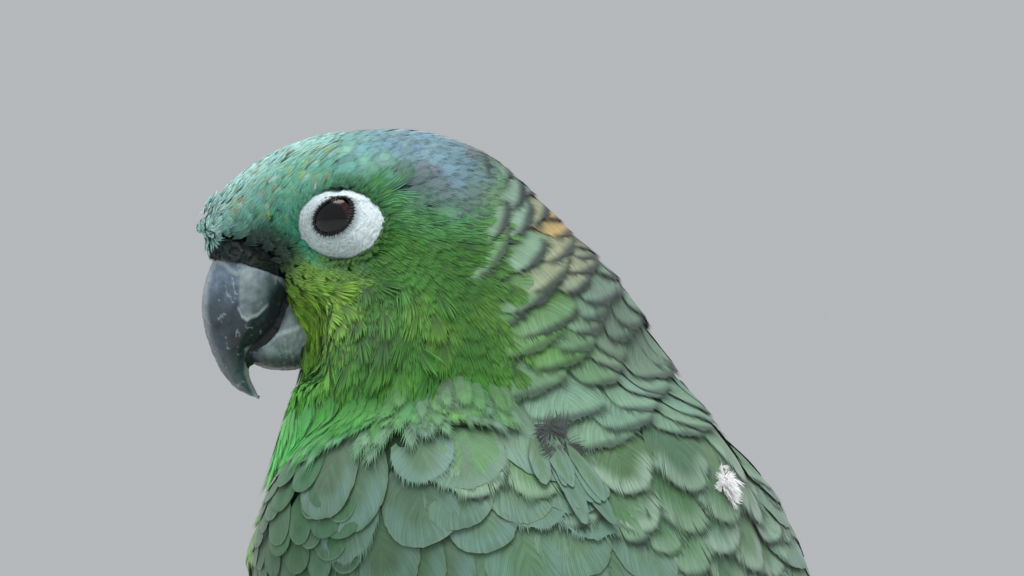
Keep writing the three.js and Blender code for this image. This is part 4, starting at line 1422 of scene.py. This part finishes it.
def upper_bill():
    bill = remeshed("bill_upper_horn", ("bill_upper",), 0.38 * MM, 8)
    points = points_of(bill.data)
    flat, _ = head_side(points)
    forward, up = flat.T
    edge, to_cere = from_line(flat, TOMIUM), from_line(flat, CERE_EDGE)
    growth = np.sin(2 * math.pi * (to_cere / 1.3 + 0.5 * ripple(points / MM, 6, 50)))
    over_foot = up - np.interp(forward, *np.array(PATCH_EDGE[::-1]).T)
    patch = smooth(-0.25, 0.25, over_foot) * smooth(23.6, 22.6, forward) * smooth(14.5, 19.5, forward)
    patch = patch * (0.75 + 0.25 * ripple(points / MM, 3.0, 51))
    step = smooth(0.8, 0.1, np.abs(over_foot - 0.3)) * smooth(23.8, 23, forward) * smooth(15.8, 17, forward)
    raise_points(bill, 0.04 * growth + 0.07 * ripple(points / MM, 2.2, 52) + 0.12 * patch + 0.1 * step)
    tint = mix(HORN_TIP, mix(HORN_SLATE, HORN_TOP, smooth(-26, -12, up)), smooth(-40, -28, up))
    tint = tint * (1 + 0.14 * ripple(points / MM, 3.4, 53) + 0.07 * ripple(points / MM, 0.9, 54))[:, None]
    # Painted shade: near-black towards the cutting edge, where the side turns in under the bill, except at
    # the tip and on the pale patch.
    dark = smooth(7.5, 3.0, edge) * smooth(-36, -31, up) * (1 - np.clip(1.2 * patch, 0, 1))
    tint = layered(
        tint,
        (HORN_PALE, patch * (0.42 + 0.22 * smooth(-26, -14, up))),
        # Painted highlight: a pale band along the ridge of the upper bill, where the light from above catches
        # it.
        (HORN_PALE, smooth(2.2, 0.6, from_line(flat, CULMEN)) * smooth(-42, -20, up) * 0.5),
        (HORN_SHADE, dark * 0.85),
        (HORN_PALE, step * 0.85),
        (HORN_PALE, smooth(1.5, 0.6, edge) * smooth(-30, -32.5, up) * 0.9),
        (HORN_PALE, smooth(0.9, 0.2, to_cere) * 0.5),
    )
    paint(bill.data, "tint", scratched(tint, points, 56))
    finish_piece(shade_smooth(bill), "horn", horn_finish, "bill_upper")


def lower_bill():
    bill = remeshed("bill_lower_horn", ("bill_lower",), 0.4 * MM, 6, 0.25 * MM)
    points = points_of(bill.data)
    flat, _ = head_side(points)
    forward, up = flat.T
    growth = np.sin(2 * math.pi * (forward / 1.5 + 0.6 * ripple(points / MM, 5, 60)))
    raise_points(bill, 0.04 * growth + 0.06 * ripple(points / MM, 1.8, 61))
    tint = mix(HORN_SLATE, HORN_LOWER, smooth(20, 15, forward))
    tint = tint * (1 + 0.12 * ripple(points / MM, 3.0, 62) + 0.06 * ripple(points / MM, 0.9, 63))[:, None]
    worn = smooth(0.9, 0.2, from_line(flat, WORN_RIM)) * 0.8
    # Painted shade: darker on the underside of the lower bill and at its back, under the upper bill; the pale
    # worn rim is the horn's own.
    tint = layered(tint, (HORN_SHADE, smooth(-32.5, -35.5, up) * 0.8),
                   (HORN_SHADE, smooth(6, 1, forward) * 0.5), (HORN_PALE, worn))
    paint(bill.data, "tint", scratched(tint, points, 64))
    finish_piece(shade_smooth(bill), "horn", horn_finish, "bill_lower")


def gape():
    """Dark skin at the corner of the mouth, which closes the gaps between the two bills and the cere."""
    piece = remeshed("gape_skin", ("bill_upper", "bill_lower", "cere"), 0.6 * MM, 3, 1.1 * MM)
    raise_points(piece, np.full(len(piece.data.vertices), -1.6))
    points = points_of(piece.data)
    paint(piece.data, "tint", CERE_DARK * 0.7 * (1 + 0.2 * ripple(points / MM, 1.5, 66))[:, None])
    finish_piece(shade_smooth(piece), "cere_skin", cere_finish)


def from_nostril(flat):
    return np.linalg.norm((flat - NOSTRIL) / NOSTRIL_SIZE, axis=1)


def cere():
    piece = remeshed("cere_skin", ("cere",), 0.42 * MM, 6, 0.2 * MM)
    points = points_of(piece.data)
    flat, side = head_side(points)
    hole = np.where(side > 2, from_nostril(flat), 9.0)
    swell = smooth(2.2, 1.2, hole) * 0.5
    raise_points(piece, 0.16 * ripple(points / MM, 1.4, 70) + swell - 2.0 * smooth(1.1, 0.4, hole) - 0.4)
    tint = CERE_DARK * (1 + 0.3 * ripple(points / MM, 1.8, 71))[:, None]
    # Painted shade: the nostril's hollow is painted darker than the cere round it.
    paint(piece.data, "tint", mix(tint, tint * 0.2, smooth(1.2, 0.6, hole)))
    return Surface(finish_piece(shade_smooth(piece), "cere_skin", cere_finish, "cere"))


def over_cere(points):
    flat, _ = head_side(points)
    return (flat[:, 1] > -12.5) & (from_nostril(flat) > 1.2)


upper_bill()
lower_bill()
gape()
tract("cere_bristles", cere(), over_cere, (1.2, 3.0, 0.9), (-0.1, 0.45), several(fan, 4, 5, 2, first=80),
      bristle_barbs, "face_plumage", 112, yaw=0.5, dark=0.25,
      recolour=lambda roots, base, rng: alike(LORE_DARK * 0.6, len(roots)))

# ---- Eyes ----
PUPIL = 0.54
IRIS = 0.76
EYE_RADIUS = 7.6
OPEN_HALF = (5.25, 3.85)
OPEN_TILT = math.radians(42)
OPEN_CORNER = 0.8
PUPIL_BLACK, IRIS_BROWN, IRIS_DEEP = colours("#07090b #5e2c22 #1f100e")
LID_WHITE, LID_GREY, LID_BLACK = colours("#ccd9de #8b9c9d #17191b")
# Cornea: wet and clear, so its highlight is small and sharp.
eye_finish = painted_material("wet_eye", 0.12, 0.5, 0.1, 0.5, 0.0, specular=0.4)
# Bare lid skin: thin, dry and finely creased, with a faint gloss on its folds.
lid_finish = painted_material("bare_lid_skin", 0.55, 0.9, 0.1, 0.25, 0.35)


def eye_middle(side):
    low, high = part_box(f"eye_{side}")
    return (np.array(low) + np.array(high)) / 2


def eyeball(side):
    """A ball with a dark pupil in a brown iris, under a clear bulging front."""
    ball = added(bpy.ops.mesh.primitive_uv_sphere_add, f"eye_{side}_ball", segments=96, ring_count=64,
                 radius=EYE_RADIUS * MM)
    middle = eye_middle(side)
    gaze = unit(place_in(HEAD, hand_of(side) * 24.4, -1.0, -0.6) - middle)
    aside = unit(np.cross(gaze, DOWN))
    local = points_of(ball.data)
    turn = np.column_stack([aside, np.cross(gaze, aside), gaze])
    out = np.arccos(np.clip(local[:, 2] / (EYE_RADIUS * MM), -1, 1))
    spin = np.arctan2(local[:, 1], local[:, 0])
    bulge = (1 + 0.035 * np.exp(-((out / 0.5) ** 2))) * (1 - 0.4 * smooth(0.77, 1.05, out))
    put_points(ball.data, (local * bulge[:, None]) @ turn.T + middle)
    fibres = 0.5 + 0.3 * np.sin(spin * 23 + 3 * np.sin(spin * 3)) + 0.2 * np.sin(spin * 41 + 1)
    iris = mix(IRIS_BROWN, IRIS_DEEP, np.clip(fibres * 0.7 + smooth(0.52, 0.68, out) * 0.6, 0, 1))
    tint = mix(alike(PUPIL_BLACK, len(out)), iris, smooth(PUPIL, PUPIL + 0.08, out))
    paint(ball.data, "tint", mix(tint, PUPIL_BLACK, smooth(IRIS, IRIS + 0.08, out)))
    finish_piece(shade_smooth(ball), "eye", eye_finish, f"eye_{side}")


def bump_at(turn, middle, reach):
    """1 at one angle, falling off on both sides."""
    off = (turn - middle + math.pi) % (2 * math.pi) - math.pi
    return np.exp(-((off / reach) ** 2))


def lid_place(side, turn, share):
    """A place on the bare skin round an eye: turn goes from behind to above, share from the eye's opening at
    0 to the feathers at 1. The skin swells a little between the two."""
    tilt = turn - OPEN_TILT
    half = 1 / np.hypot(np.cos(tilt) / OPEN_HALF[0], np.sin(tilt) / OPEN_HALF[1])
    half = half * (1 + 0.07 * bump_at(turn, OPEN_CORNER, 0.35))
    inner = np.stack([half * np.cos(turn), half * np.sin(turn) + 0.1], -1)
    corner = 1 + 0.06 * bump_at(turn, 0.15, 0.3)
    outer = np.stack([np.cos(turn), np.sin(turn)], -1) * RING_HALF * corner[..., None] + RING_CENTRE
    flat = inner * (1 - share[..., None]) + outer * share[..., None]
    ball = seen_from(HEAD, eye_middle(side)[None])[0]

    def over_ball(at):
        room = EYE_RADIUS**2 - (at[..., 0] - ball[1]) ** 2 - (at[..., 1] - ball[2]) ** 2
        return np.abs(ball[0]) + np.sqrt(np.maximum(room, 2.0))

    hand = hand_of(side)
    past = (outer - RING_CENTRE) * 1.05 + RING_CENTRE
    starts = placed(HEAD, np.column_stack([np.full(turn.size, hand * 45.0), past.reshape(-1, 2)]))
    skin_hit = form.reach(starts, tuple(direction_in(HEAD, -hand, 0, 0)))
    at_skin = np.abs(seen_from(HEAD, skin_hit)[:, 0]).reshape(share.shape) - 0.5
    rise = 0.5 * smooth(-0.14, 0.03, share) - 0.1
    at_ball = np.where(share < 0, over_ball(flat), over_ball(inner)) + rise
    out = np.clip(share, 0, 1)
    high = at_ball * (1 - out) + at_skin * out + 0.75 * np.sin(math.pi * out)
    high = high - 1.4 * smooth(1.0, 1.14, share)
    made = np.column_stack([hand * high.ravel(), flat.reshape(-1, 2)])
    return placed(HEAD, made)


LID_AROUND = 192
LID_LOOPS = 34
LID_FROM, LID_TO = -0.14, 1.14


def lids(side):
    """Bare wrinkled skin round the eye, drawn in loops from its outer edge to the edge of the lids."""
    piece = added(bpy.ops.mesh.primitive_circle_add, f"eye_ring_{side}_skin", vertices=LID_AROUND, radius=1.0,
                  fill_type="NOTHING")
    loops, radius = [], 1.0
    for k in range(LID_LOOPS):
        narrower = 1 - 0.8 * (k + 1) / LID_LOOPS
        resize = {"value": (narrower / radius, narrower / radius, 1)}
        loops += [(bpy.ops.mesh.extrude_edges_move, {}), (bpy.ops.transform.resize, resize)]
        radius = narrower
    flat = points_of(edited(piece, *loops).data)
    share = LID_FROM + (LID_TO - LID_FROM) * (np.hypot(flat[:, 0], flat[:, 1]) - 0.2) / 0.8
    turn = np.arctan2(flat[:, 1], flat[:, 0])
    points = lid_place(side, turn, share)
    local = seen_from(HEAD, points)
    out = unit(points - eye_middle(side))
    window = smooth(0.05, 0.2, share) * smooth(1.05, 0.9, share)
    ring = np.column_stack([np.cos(turn), np.sin(turn), share * 0])
    wander = 0.6 * ripple(ring * 6, 5, 81) + 0.4 * ripple(local, 2.2, 82)
    depth = 0.4 + 0.6 * smooth(-0.6, 0.6, ripple(local, 2.4, 84))
    fold = np.sin(2 * math.pi * (7.0 * share + wander)) * depth
    fine = ripple(local, 0.7, 83)
    relief = window * (0.1 * fold + 0.06 * fine)
    put_points(piece.data, points + out * (relief * MM)[:, None])
    edited(piece, FACE_OUT)
    if (normals_of(piece.data) * out).sum() < 0:
        piece.data.flip_normals()
    # Painted shade: the skin is greyer towards its lower side and in the creases of its folds, and whiter on
    # their ridges.
    low = smooth(0.9, -0.9, np.sin(turn) + 0.9 * np.cos(turn))
    grey = 0.45 * low + 0.22 * bump_at(turn, 1.9, 0.9) + window * (0.15 - 0.3 * fold + 0.12 * fine)
    band = smooth(0.36, 0.16, share) * (0.4 + 0.4 * bump_at(turn, -0.8, 1.1))
    tint = layered(LID_WHITE, (LID_GREY, np.clip(grey, 0, 1)), (LID_GREY * 0.75, band),
                   (LID_BLACK, smooth(0.08, 0.04, share)))
    paint(piece.data, "tint", tint)
    apply(piece, "SOLIDIFY", thickness=0.4 * MM, offset=-1.0)
    finish_piece(shade_smooth(piece), "eye_ring_skin", lid_finish, f"eye_ring_{side}")


LASHES = 46


def lashes(side):
    """Short dark bristles that stand out from the edge of the lids over the white skin."""
    rng = np.random.default_rng(90)
    turn = np.linspace(0, 2 * math.pi, LASHES, endpoint=False) + rng.uniform(-0.03, 0.03, LASHES)
    feet = lid_place(side, turn, np.full(LASHES, 0.02))
    across = np.linalg.norm(lid_place(side, turn, np.ones(LASHES)) - feet, axis=1) / MM
    tips = lid_place(side, turn, 0.02 + rng.uniform(1.3, 1.9, LASHES) / across)
    out = unit(feet - eye_middle(side))
    cone = added(bpy.ops.mesh.primitive_cone_add, "lash", (0, 0, 0.5), vertices=5, radius1=0.33, radius2=0.0,
                 depth=1)
    shape = points_of(cone.data)
    rows = [tuple(p.vertices) for p in cone.data.polygons if len(p.vertices) == 3]
    bpy.data.objects.remove(cone)
    points, faces = [], []
    for foot, tip, up in zip(feet, tips, out):
        along = tip - foot
        aside = unit(np.cross(along, up))
        first = len(points) * len(shape)
        lifted = np.outer(0.5 + shape[:, 2], up * (0.4 * MM))
        made = foot + np.outer(shape[:, 2], along) + np.outer(shape[:, 0] * MM, aside)
        points.append(made + np.outer(shape[:, 1] * MM * 0.8, up) + lifted)
        faces += [(*(first + v for v in face), -1) for face in rows]
    piece = edited(mesh_from(f"eye_{side}_lashes", np.concatenate(points), np.array(faces)), FACE_OUT)
    paint(piece.data, "tint", alike(LID_BLACK, len(piece.data.vertices)))
    finish_piece(shade_smooth(piece), "eye_ring_skin", lid_finish)


for side in SIDES:
    eyeball(side)
    lids(side)
    lashes(side)

# ---- Feet and claws ----
FOOT_GREY, FOOT_PALE, FOOT_GROOVE = colours("#8b8a86 #a3a099 #4a4843")
CLAW_DARK, CLAW_WORN = colours("#2f2e2d #6b665e")
SCALE_MM = 1.75
# Foot skin: small dry plates of keratin, half matt, darker in the grooves between them.
foot_finish = painted_material("scaly_foot_skin", 0.55, 1.5, 0.12, 0.3, 0.3)
# Claw horn: rubbed to a polish on the perch, with long fine lines.
claw_finish = painted_material("claw_horn", 0.32, 1.0, 0.15, 0.3, 0.2, coat=0.2, stretch=(3, 1, 1))


def foot(side):
    """Bare leg, palm and toes in one skin, covered in small raised scales that lie across the toes."""
    nodes = [f"tarsus_{side}"] + [f"toe_{number}_{side}" for number in (1, 2, 3, 4)]
    skin = remeshed(f"foot_{side}_skin", nodes, 0.48 * MM, 4, 0.3 * MM)
    surface = Surface(skin)
    across = np.array((0.55, 1.0, 1.0))
    seeds, _ = scatter(surface, SCALE_MM * 0.85 * MM, lambda p: np.ones(len(p), bool), 120, crowd=5)
    tree = KDTree(len(seeds))
    for i, p in enumerate(seeds * across):
        tree.insert(p, i)
    tree.balance()
    found = [tree.find_n(p, 2) for p in surface.points * across]
    gap = np.array([two[1][2] - two[0][2] for two in found]) / MM
    cell = np.array([two[0][1] for two in found])
    raised = smooth(0.0, 0.5, gap)
    raise_points(skin, 0.3 * raised - 0.22)
    light = np.random.default_rng(121).uniform(0.8, 1.15, len(seeds))[cell]
    tint = mix(FOOT_GROOVE, mix(FOOT_GREY, FOOT_PALE, smooth(0.4, 1.2, gap)), raised) * light[:, None]
    paint(skin.data, "tint", tint)
    finish_piece(shade_smooth(skin), "foot_skin", foot_finish, *nodes)


def claws(side):
    nodes = [f"claw_{number}_{side}" for number in (1, 2, 3, 4)]
    piece = merged_copy(f"claws_{side}", nodes)
    apply(piece, "SUBSURF", levels=2, render_levels=2)
    points = points_of(piece.data)
    worn = smooth(0.1, 0.9, ripple(points / MM, 2.5, 130))
    paint(piece.data, "tint", mix(CLAW_DARK, CLAW_WORN, worn * 0.7))
    finish_piece(shade_smooth(piece), "claw_horn", claw_finish, *nodes)


for side in SIDES:
    foot(side)
    claws(side)

# ---- Branch and stand ----
PERCH_AXIS = (-0.014, 0.115)
PERCH_END = 0.0946
PERCH_CUT = 12.9
BARK_BROWN, BARK_PALE, BARK_FURROW, LICHEN = colours("#6a5f4b #8d8468 #2f281f #8f9c7c")
CUT_WOOD, CUT_RING = colours("#b99a6c #8a6a42")
KNOTS = ((-62, 2.2), (21, -0.4), (66, 1.1), (-30, -1.9))
# Bark: dead, dry cork in ridges, without any gloss.
bark_finish = painted_material("ridged_bark", 0.85, 2.0, 0.2, 0.6, 0.6, specular=0.25, stretch=(0.5, 1, 1))


def perch():
    """A sawn length of branch: ridged bark with low knots, and growth rings on its cut ends."""
    branch = remeshed("perch_bark", ("perch",), 0.95 * MM, 2)
    points = points_of(branch.data)
    local = points / MM
    side, high = points[:, 1] - PERCH_AXIS[0], points[:, 2] - PERCH_AXIS[1]
    radius, turn = np.hypot(side, high) / MM, np.arctan2(high, side)
    end = (np.abs(points[:, 0]) > PERCH_END) & (radius < PERCH_CUT)
    ridges = 1 - np.abs(ripple(local * np.array((0.3, 1, 1)), 4.2, 140)) * 1.6
    plates = 1 - np.abs(ripple(local * np.array((0.8, 1, 1)), 6.0, 141)) * 2
    knots = np.zeros(len(points))
    for at, way in KNOTS:
        off = np.hypot((local[:, 0] - at) / 4.5, (np.angle(np.exp(1j * (turn - way)))) * 13 / 4.5)
        knots += np.exp(-(off**2)) - 0.9 * np.exp(-((off / 0.45) ** 2))
    relief = 0.28 * ridges + 0.14 * plates + 0.1 * ripple(local, 1.3, 142) - 0.25 + 0.7 * knots
    raise_points(branch, np.where(end, 0.03 * np.sin(radius * 4), relief))
    lichen = smooth(0.55, 0.95, ripple(local, 9, 143)) * smooth(-0.2, 0.4, high / 0.014) * 0.7
    tint = mix(BARK_FURROW, BARK_BROWN, smooth(-0.3, 0.7, ridges) * smooth(-0.9, 0.2, plates))
    tint = layered(tint, (BARK_PALE, smooth(0.5, 1.0, ridges) * 0.6), (LICHEN, lichen))
    rings = 0.5 + 0.5 * np.sin(2 * math.pi * (radius / 1.15 + 0.15 * ripple(local, 9, 144)))
    cut = mix(CUT_WOOD, CUT_RING, rings * 0.6 + smooth(1.2, 0.4, radius) * 0.4)
    crack = smooth(0.25, 0.05, np.abs(side - 0.4 * high) / MM) * (high > 0) * smooth(11, 6, radius)
    cut = mix(cut, BARK_FURROW, np.maximum(crack, smooth(12.0, 12.6, radius)) * 0.85)
    paint(branch.data, "tint", np.where(end[:, None], cut, tint))
    finish_piece(shade_smooth(branch), "bark", bark_finish, "perch")


def steel():
    """Brushed stainless steel: fine scratches run round the rod and draw its highlight out along it."""
    made, node = new_material("brushed_stainless_steel")
    drawn = node("Mapping", Vector=node("TexCoord", out="Object"), Scale=(1, 1, 14))
    scratches = node("TexNoise", Vector=drawn, Scale=260.0, Detail=3.0)
    gloss = node("MapRange", i0=scratches, i1=NOISE_LOW, i2=NOISE_HIGH, i3=0.24, i4=0.4)
    relief = node("Bump", Strength=0.15, Distance=0.05 * MM, Height=scratches)
    finish_material(node, Base_Color=colour("#b4b7ba"), Metallic=1.0, Roughness=gloss, Normal=relief)
    return made


def walnut():
    """Oiled walnut: long brown grain, 2-6 mm between growth lines, with short dark pores along it."""
    made, node = new_material("oiled_walnut")
    drawn = node("Mapping", Vector=node("TexCoord", out="Object"), Scale=(0.07, 1, 1))
    bend = node("TexNoise", Vector=drawn, Scale=60.0, Detail=3.0)
    bands = node("TexWave", {"wave_type": "BANDS", "bands_direction": "Y"}, "Fac", Vector=drawn, Scale=38.0,
                 Distortion=7.0, Detail=3.0, Detail_Scale=1.2)
    fibre = node("TexNoise", Vector=drawn, Scale=900.0, Detail=2.0)
    both = node("Math", {"operation": "MULTIPLY_ADD"}, i0=bend, i1=0.7, i2=bands)
    ramp = node("MapRange", i0=both, i1=0.3, i2=1.4)
    wood = node("Mix", BLENDED, MIXED, i0=ramp, i6=colour("#3a2618"), i7=colour("#75502f"))
    pores = node("MapRange", i0=fibre, i1=0.36, i2=0.5, i3=0.72, i4=1.0)
    shown = node("Mix", SHADED, MIXED, i0=1.0, i6=wood, i7=pores)
    relief = node("Bump", Strength=0.25, Distance=0.1 * MM, Height=pores)
    finish_material(node, Base_Color=shown, Roughness=0.42, Normal=relief, Coat_Weight=0.15,
                    Coat_Roughness=0.3)
    return made


steel_finish = steel()


def bevel_edges(obj, wanted, offset, segments):
    edit_edges(obj, wanted)
    bpy.ops.mesh.bevel(offset=offset, segments=segments, affect="EDGES")
    bpy.ops.object.mode_set(mode="OBJECT")


ROD_RADIUS = 0.004
COLLAR_RADIUS = 0.0052
FLANGE_RADIUS = 0.0095
FLANGE_HIGH = 0.003
BASE_TOP = 0.014
BASE_CORNER = 0.018
LEVEL = 1e-5


def rod(side):
    """A turned steel rod with a bevelled flange on the board and a plain collar under the branch."""
    low, high = (np.array(c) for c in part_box(f"stand_rod_{side}"))
    x, y = (low + high)[:2] / 2
    parts = ((ROD_RADIUS, low[2], high[2] - 0.0005), (FLANGE_RADIUS, BASE_TOP, BASE_TOP + FLANGE_HIGH),
             (COLLAR_RADIUS, high[2] - 0.006, high[2] - 0.001))
    made = []
    for radius, bottom, top in parts:
        turned = added(bpy.ops.mesh.primitive_cylinder_add, "turned", (x, y, (top + bottom) / 2), vertices=48,
                       radius=radius, depth=top - bottom)
        bpy.ops.object.transform_apply(location=True)
        bevel_edges(turned, lambda a, b: abs(a.z - b.z) < 1e-6 and a.z > top - LEVEL, 0.0008, 3)
        made.append(turned)
    whole = joined(f"stand_rod_{side}_steel", made)
    bpy.ops.object.shade_smooth_by_angle(angle=math.radians(30))
    finish_piece(whole, "rod_steel", steel_finish, f"stand_rod_{side}")


def base():
    """A walnut board with round corners and an eased upper edge."""
    low, high = (np.array(c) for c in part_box("stand_base"))
    board = added(bpy.ops.mesh.primitive_cube_add, "stand_base_board", (low + high) / 2, size=1,
                  scale=high - low)
    bpy.ops.object.transform_apply(location=True, scale=True)
    bevel_edges(board, lambda a, b: abs(a.z - b.z) > 0.01, BASE_CORNER, 12)
    bevel_edges(board, lambda a, b: min(a.z, b.z) > high[2] - LEVEL, 0.0022, 4)
    bevel_edges(board, lambda a, b: max(a.z, b.z) < low[2] + LEVEL, 0.0006, 2)
    take(board)
    bpy.ops.object.shade_smooth_by_angle(angle=math.radians(35))
    finish_piece(board, "base_wood", walnut(), "stand_base")


perch()
for side in SIDES:
    rod(side)
base()

# ---- Camera ----
AZIMUTH = math.radians(125)
AIM = Vector((-11.6, -33.4, 292.3)) * MM
DISTANCE = 2.5
FRAME_WIDTH = 0.2498
FRAME_PIXELS = (1024, 576)
SENSOR = 36.0
BACK = Vector((math.sin(AZIMUTH), -math.cos(AZIMUTH), 0))


def seen_at(pixel):
    """The place on the bird's outer form at a pixel of the frame."""
    right = (-BACK).cross(Vector((0, 0, 1)))
    scale = FRAME_WIDTH / FRAME_PIXELS[0]
    x, y = (p - size / 2 for p, size in zip(pixel, FRAME_PIXELS))
    start = AIM + BACK * DISTANCE
    target = AIM + right * (x * scale) - Vector((0, 0, y * scale))
    return np.array(cloak.tree.ray_cast(start, (target - start).normalized())[0])


# ---- Loose down ----
# Places in pixels of the frame.
FLUFF_AT = (727, 485)
PARTING_AT = (553, 437)
NARROW_AT = (549, 442)
DOWN_WHITE, DOWN_GREY = colours("#ffffff #454c4b")
wisps = several(fan, 4, 9, 4, first=150, spread=1.6, foot=0.3, wide=0.8, ragged=0.3, rooted=0.95, lively=0.05)
narrow_vanes = several(vane, 4, 18, first=160, shaft=0.02, levels=2, ragged=0.03, power=1.8, slender=7.0,
                       reach=0.4, frayed=False, camber=0.03, wave=0.01)


def loose_down(name, pixel, count, radius, length, rise, tint, material, seed):
    """Soft curled barbs of down that show between the feathers."""
    rng = np.random.default_rng(seed)
    roots, ups = cloak.nearest(seen_at(pixel) + rng.normal(0, radius * MM / 2, (count, 3)))
    lengths = varied(rng, count, length * MM, 0.4)
    paths, up_rows = trace(cloak, roots, ups, lengths, rng.normal(0, 1.6, count), 4)
    heights = (np.full(count, 0.1 * MM), varied(rng, count, rise * MM, 0.7))
    tints = tinted(rng, alike(tint, count), 0.08, 0.02)
    widths = varied(rng, count, length * 0.5 * MM, 0.3)
    lay(name, wisps, paths, up_rows, widths, heights, tints, tints, material, "body_plumage", seed=seed)


loose_down("white_down", FLUFF_AT, 190, 3.4, 2.6, 0.9, DOWN_WHITE, face_barbs, 151)
# Painted shade: the dark grey down at the parting stands for the shade in the hollow there as well as for
# down.
loose_down("dark_down", PARTING_AT, 22, 5.0, 5.5, 0.5, DOWN_GREY, bristle_barbs, 152)
tract("parting_feathers", cloak, around(seen_at(NARROW_AT), 5.5), (2.6, 19.0, 4.4), (-0.2, 1.3), narrow_vanes,
      covert_barbs, "body_plumage", 153, steps=6, yaw=0.16, rims=scapular_rims, recolour=scapular_tint,
      zones=scapular_zones, dark=0.12, crowd=20)


# ---- Studio ----
# Each lamp's name, place, width and power.
LAMPS = (
    ("overhead", (0.3, 0.1, 1.9), 1.4, 34),
    ("front_fill", (0.9, -1.5, 0.9), 1.5, 7),
    ("back_fill", (1.4, 1.2, 0.9), 1.5, 7),
)


def facing(made, name, place, way):
    """A camera or lamp at a place, turned a way."""
    obj = bpy.data.objects.new(name, made)
    obj.location = place
    obj.rotation_mode = "QUATERNION"
    obj.rotation_quaternion = way.to_track_quat("-Z", "Y")
    bpy.context.collection.objects.link(obj)
    return obj


def studio():
    """A camera, three soft lamps, a pale sky and a matt painted floor."""
    view = bpy.data.cameras.new("camera")
    view.sensor_width = SENSOR
    view.lens = SENSOR * DISTANCE / FRAME_WIDTH
    view.clip_start, view.clip_end = 0.1, 60
    bpy.context.scene.camera = facing(view, "camera", AIM + BACK * DISTANCE, -BACK)
    for name, place, size, power in LAMPS:
        lamp = bpy.data.lights.new(name, "AREA")
        lamp.shape, lamp.size, lamp.energy = "DISK", size, power
        obj = facing(lamp, name, place, AIM - Vector(place))
        obj.visible_camera = False
        obj.visible_glossy = name == "overhead"
    world = bpy.data.worlds.new("studio")
    world.use_nodes = True
    sky = world.node_tree.nodes["Background"].inputs
    sky[0].default_value = (0.62, 0.64, 0.66, 1)
    sky[1].default_value = 0.75
    bpy.context.scene.world = world
    bpy.context.scene.view_settings.view_transform = "Standard"
    floor = added(bpy.ops.mesh.primitive_circle_add, "floor", vertices=96, radius=3.5, fill_type="NGON")
    paint_coat, node = new_material("matt_pale_floor")
    finish_material(node, Base_Color=colour("#c9c9c7"), Roughness=0.85)
    floor.data.materials.append(paint_coat)


studio()
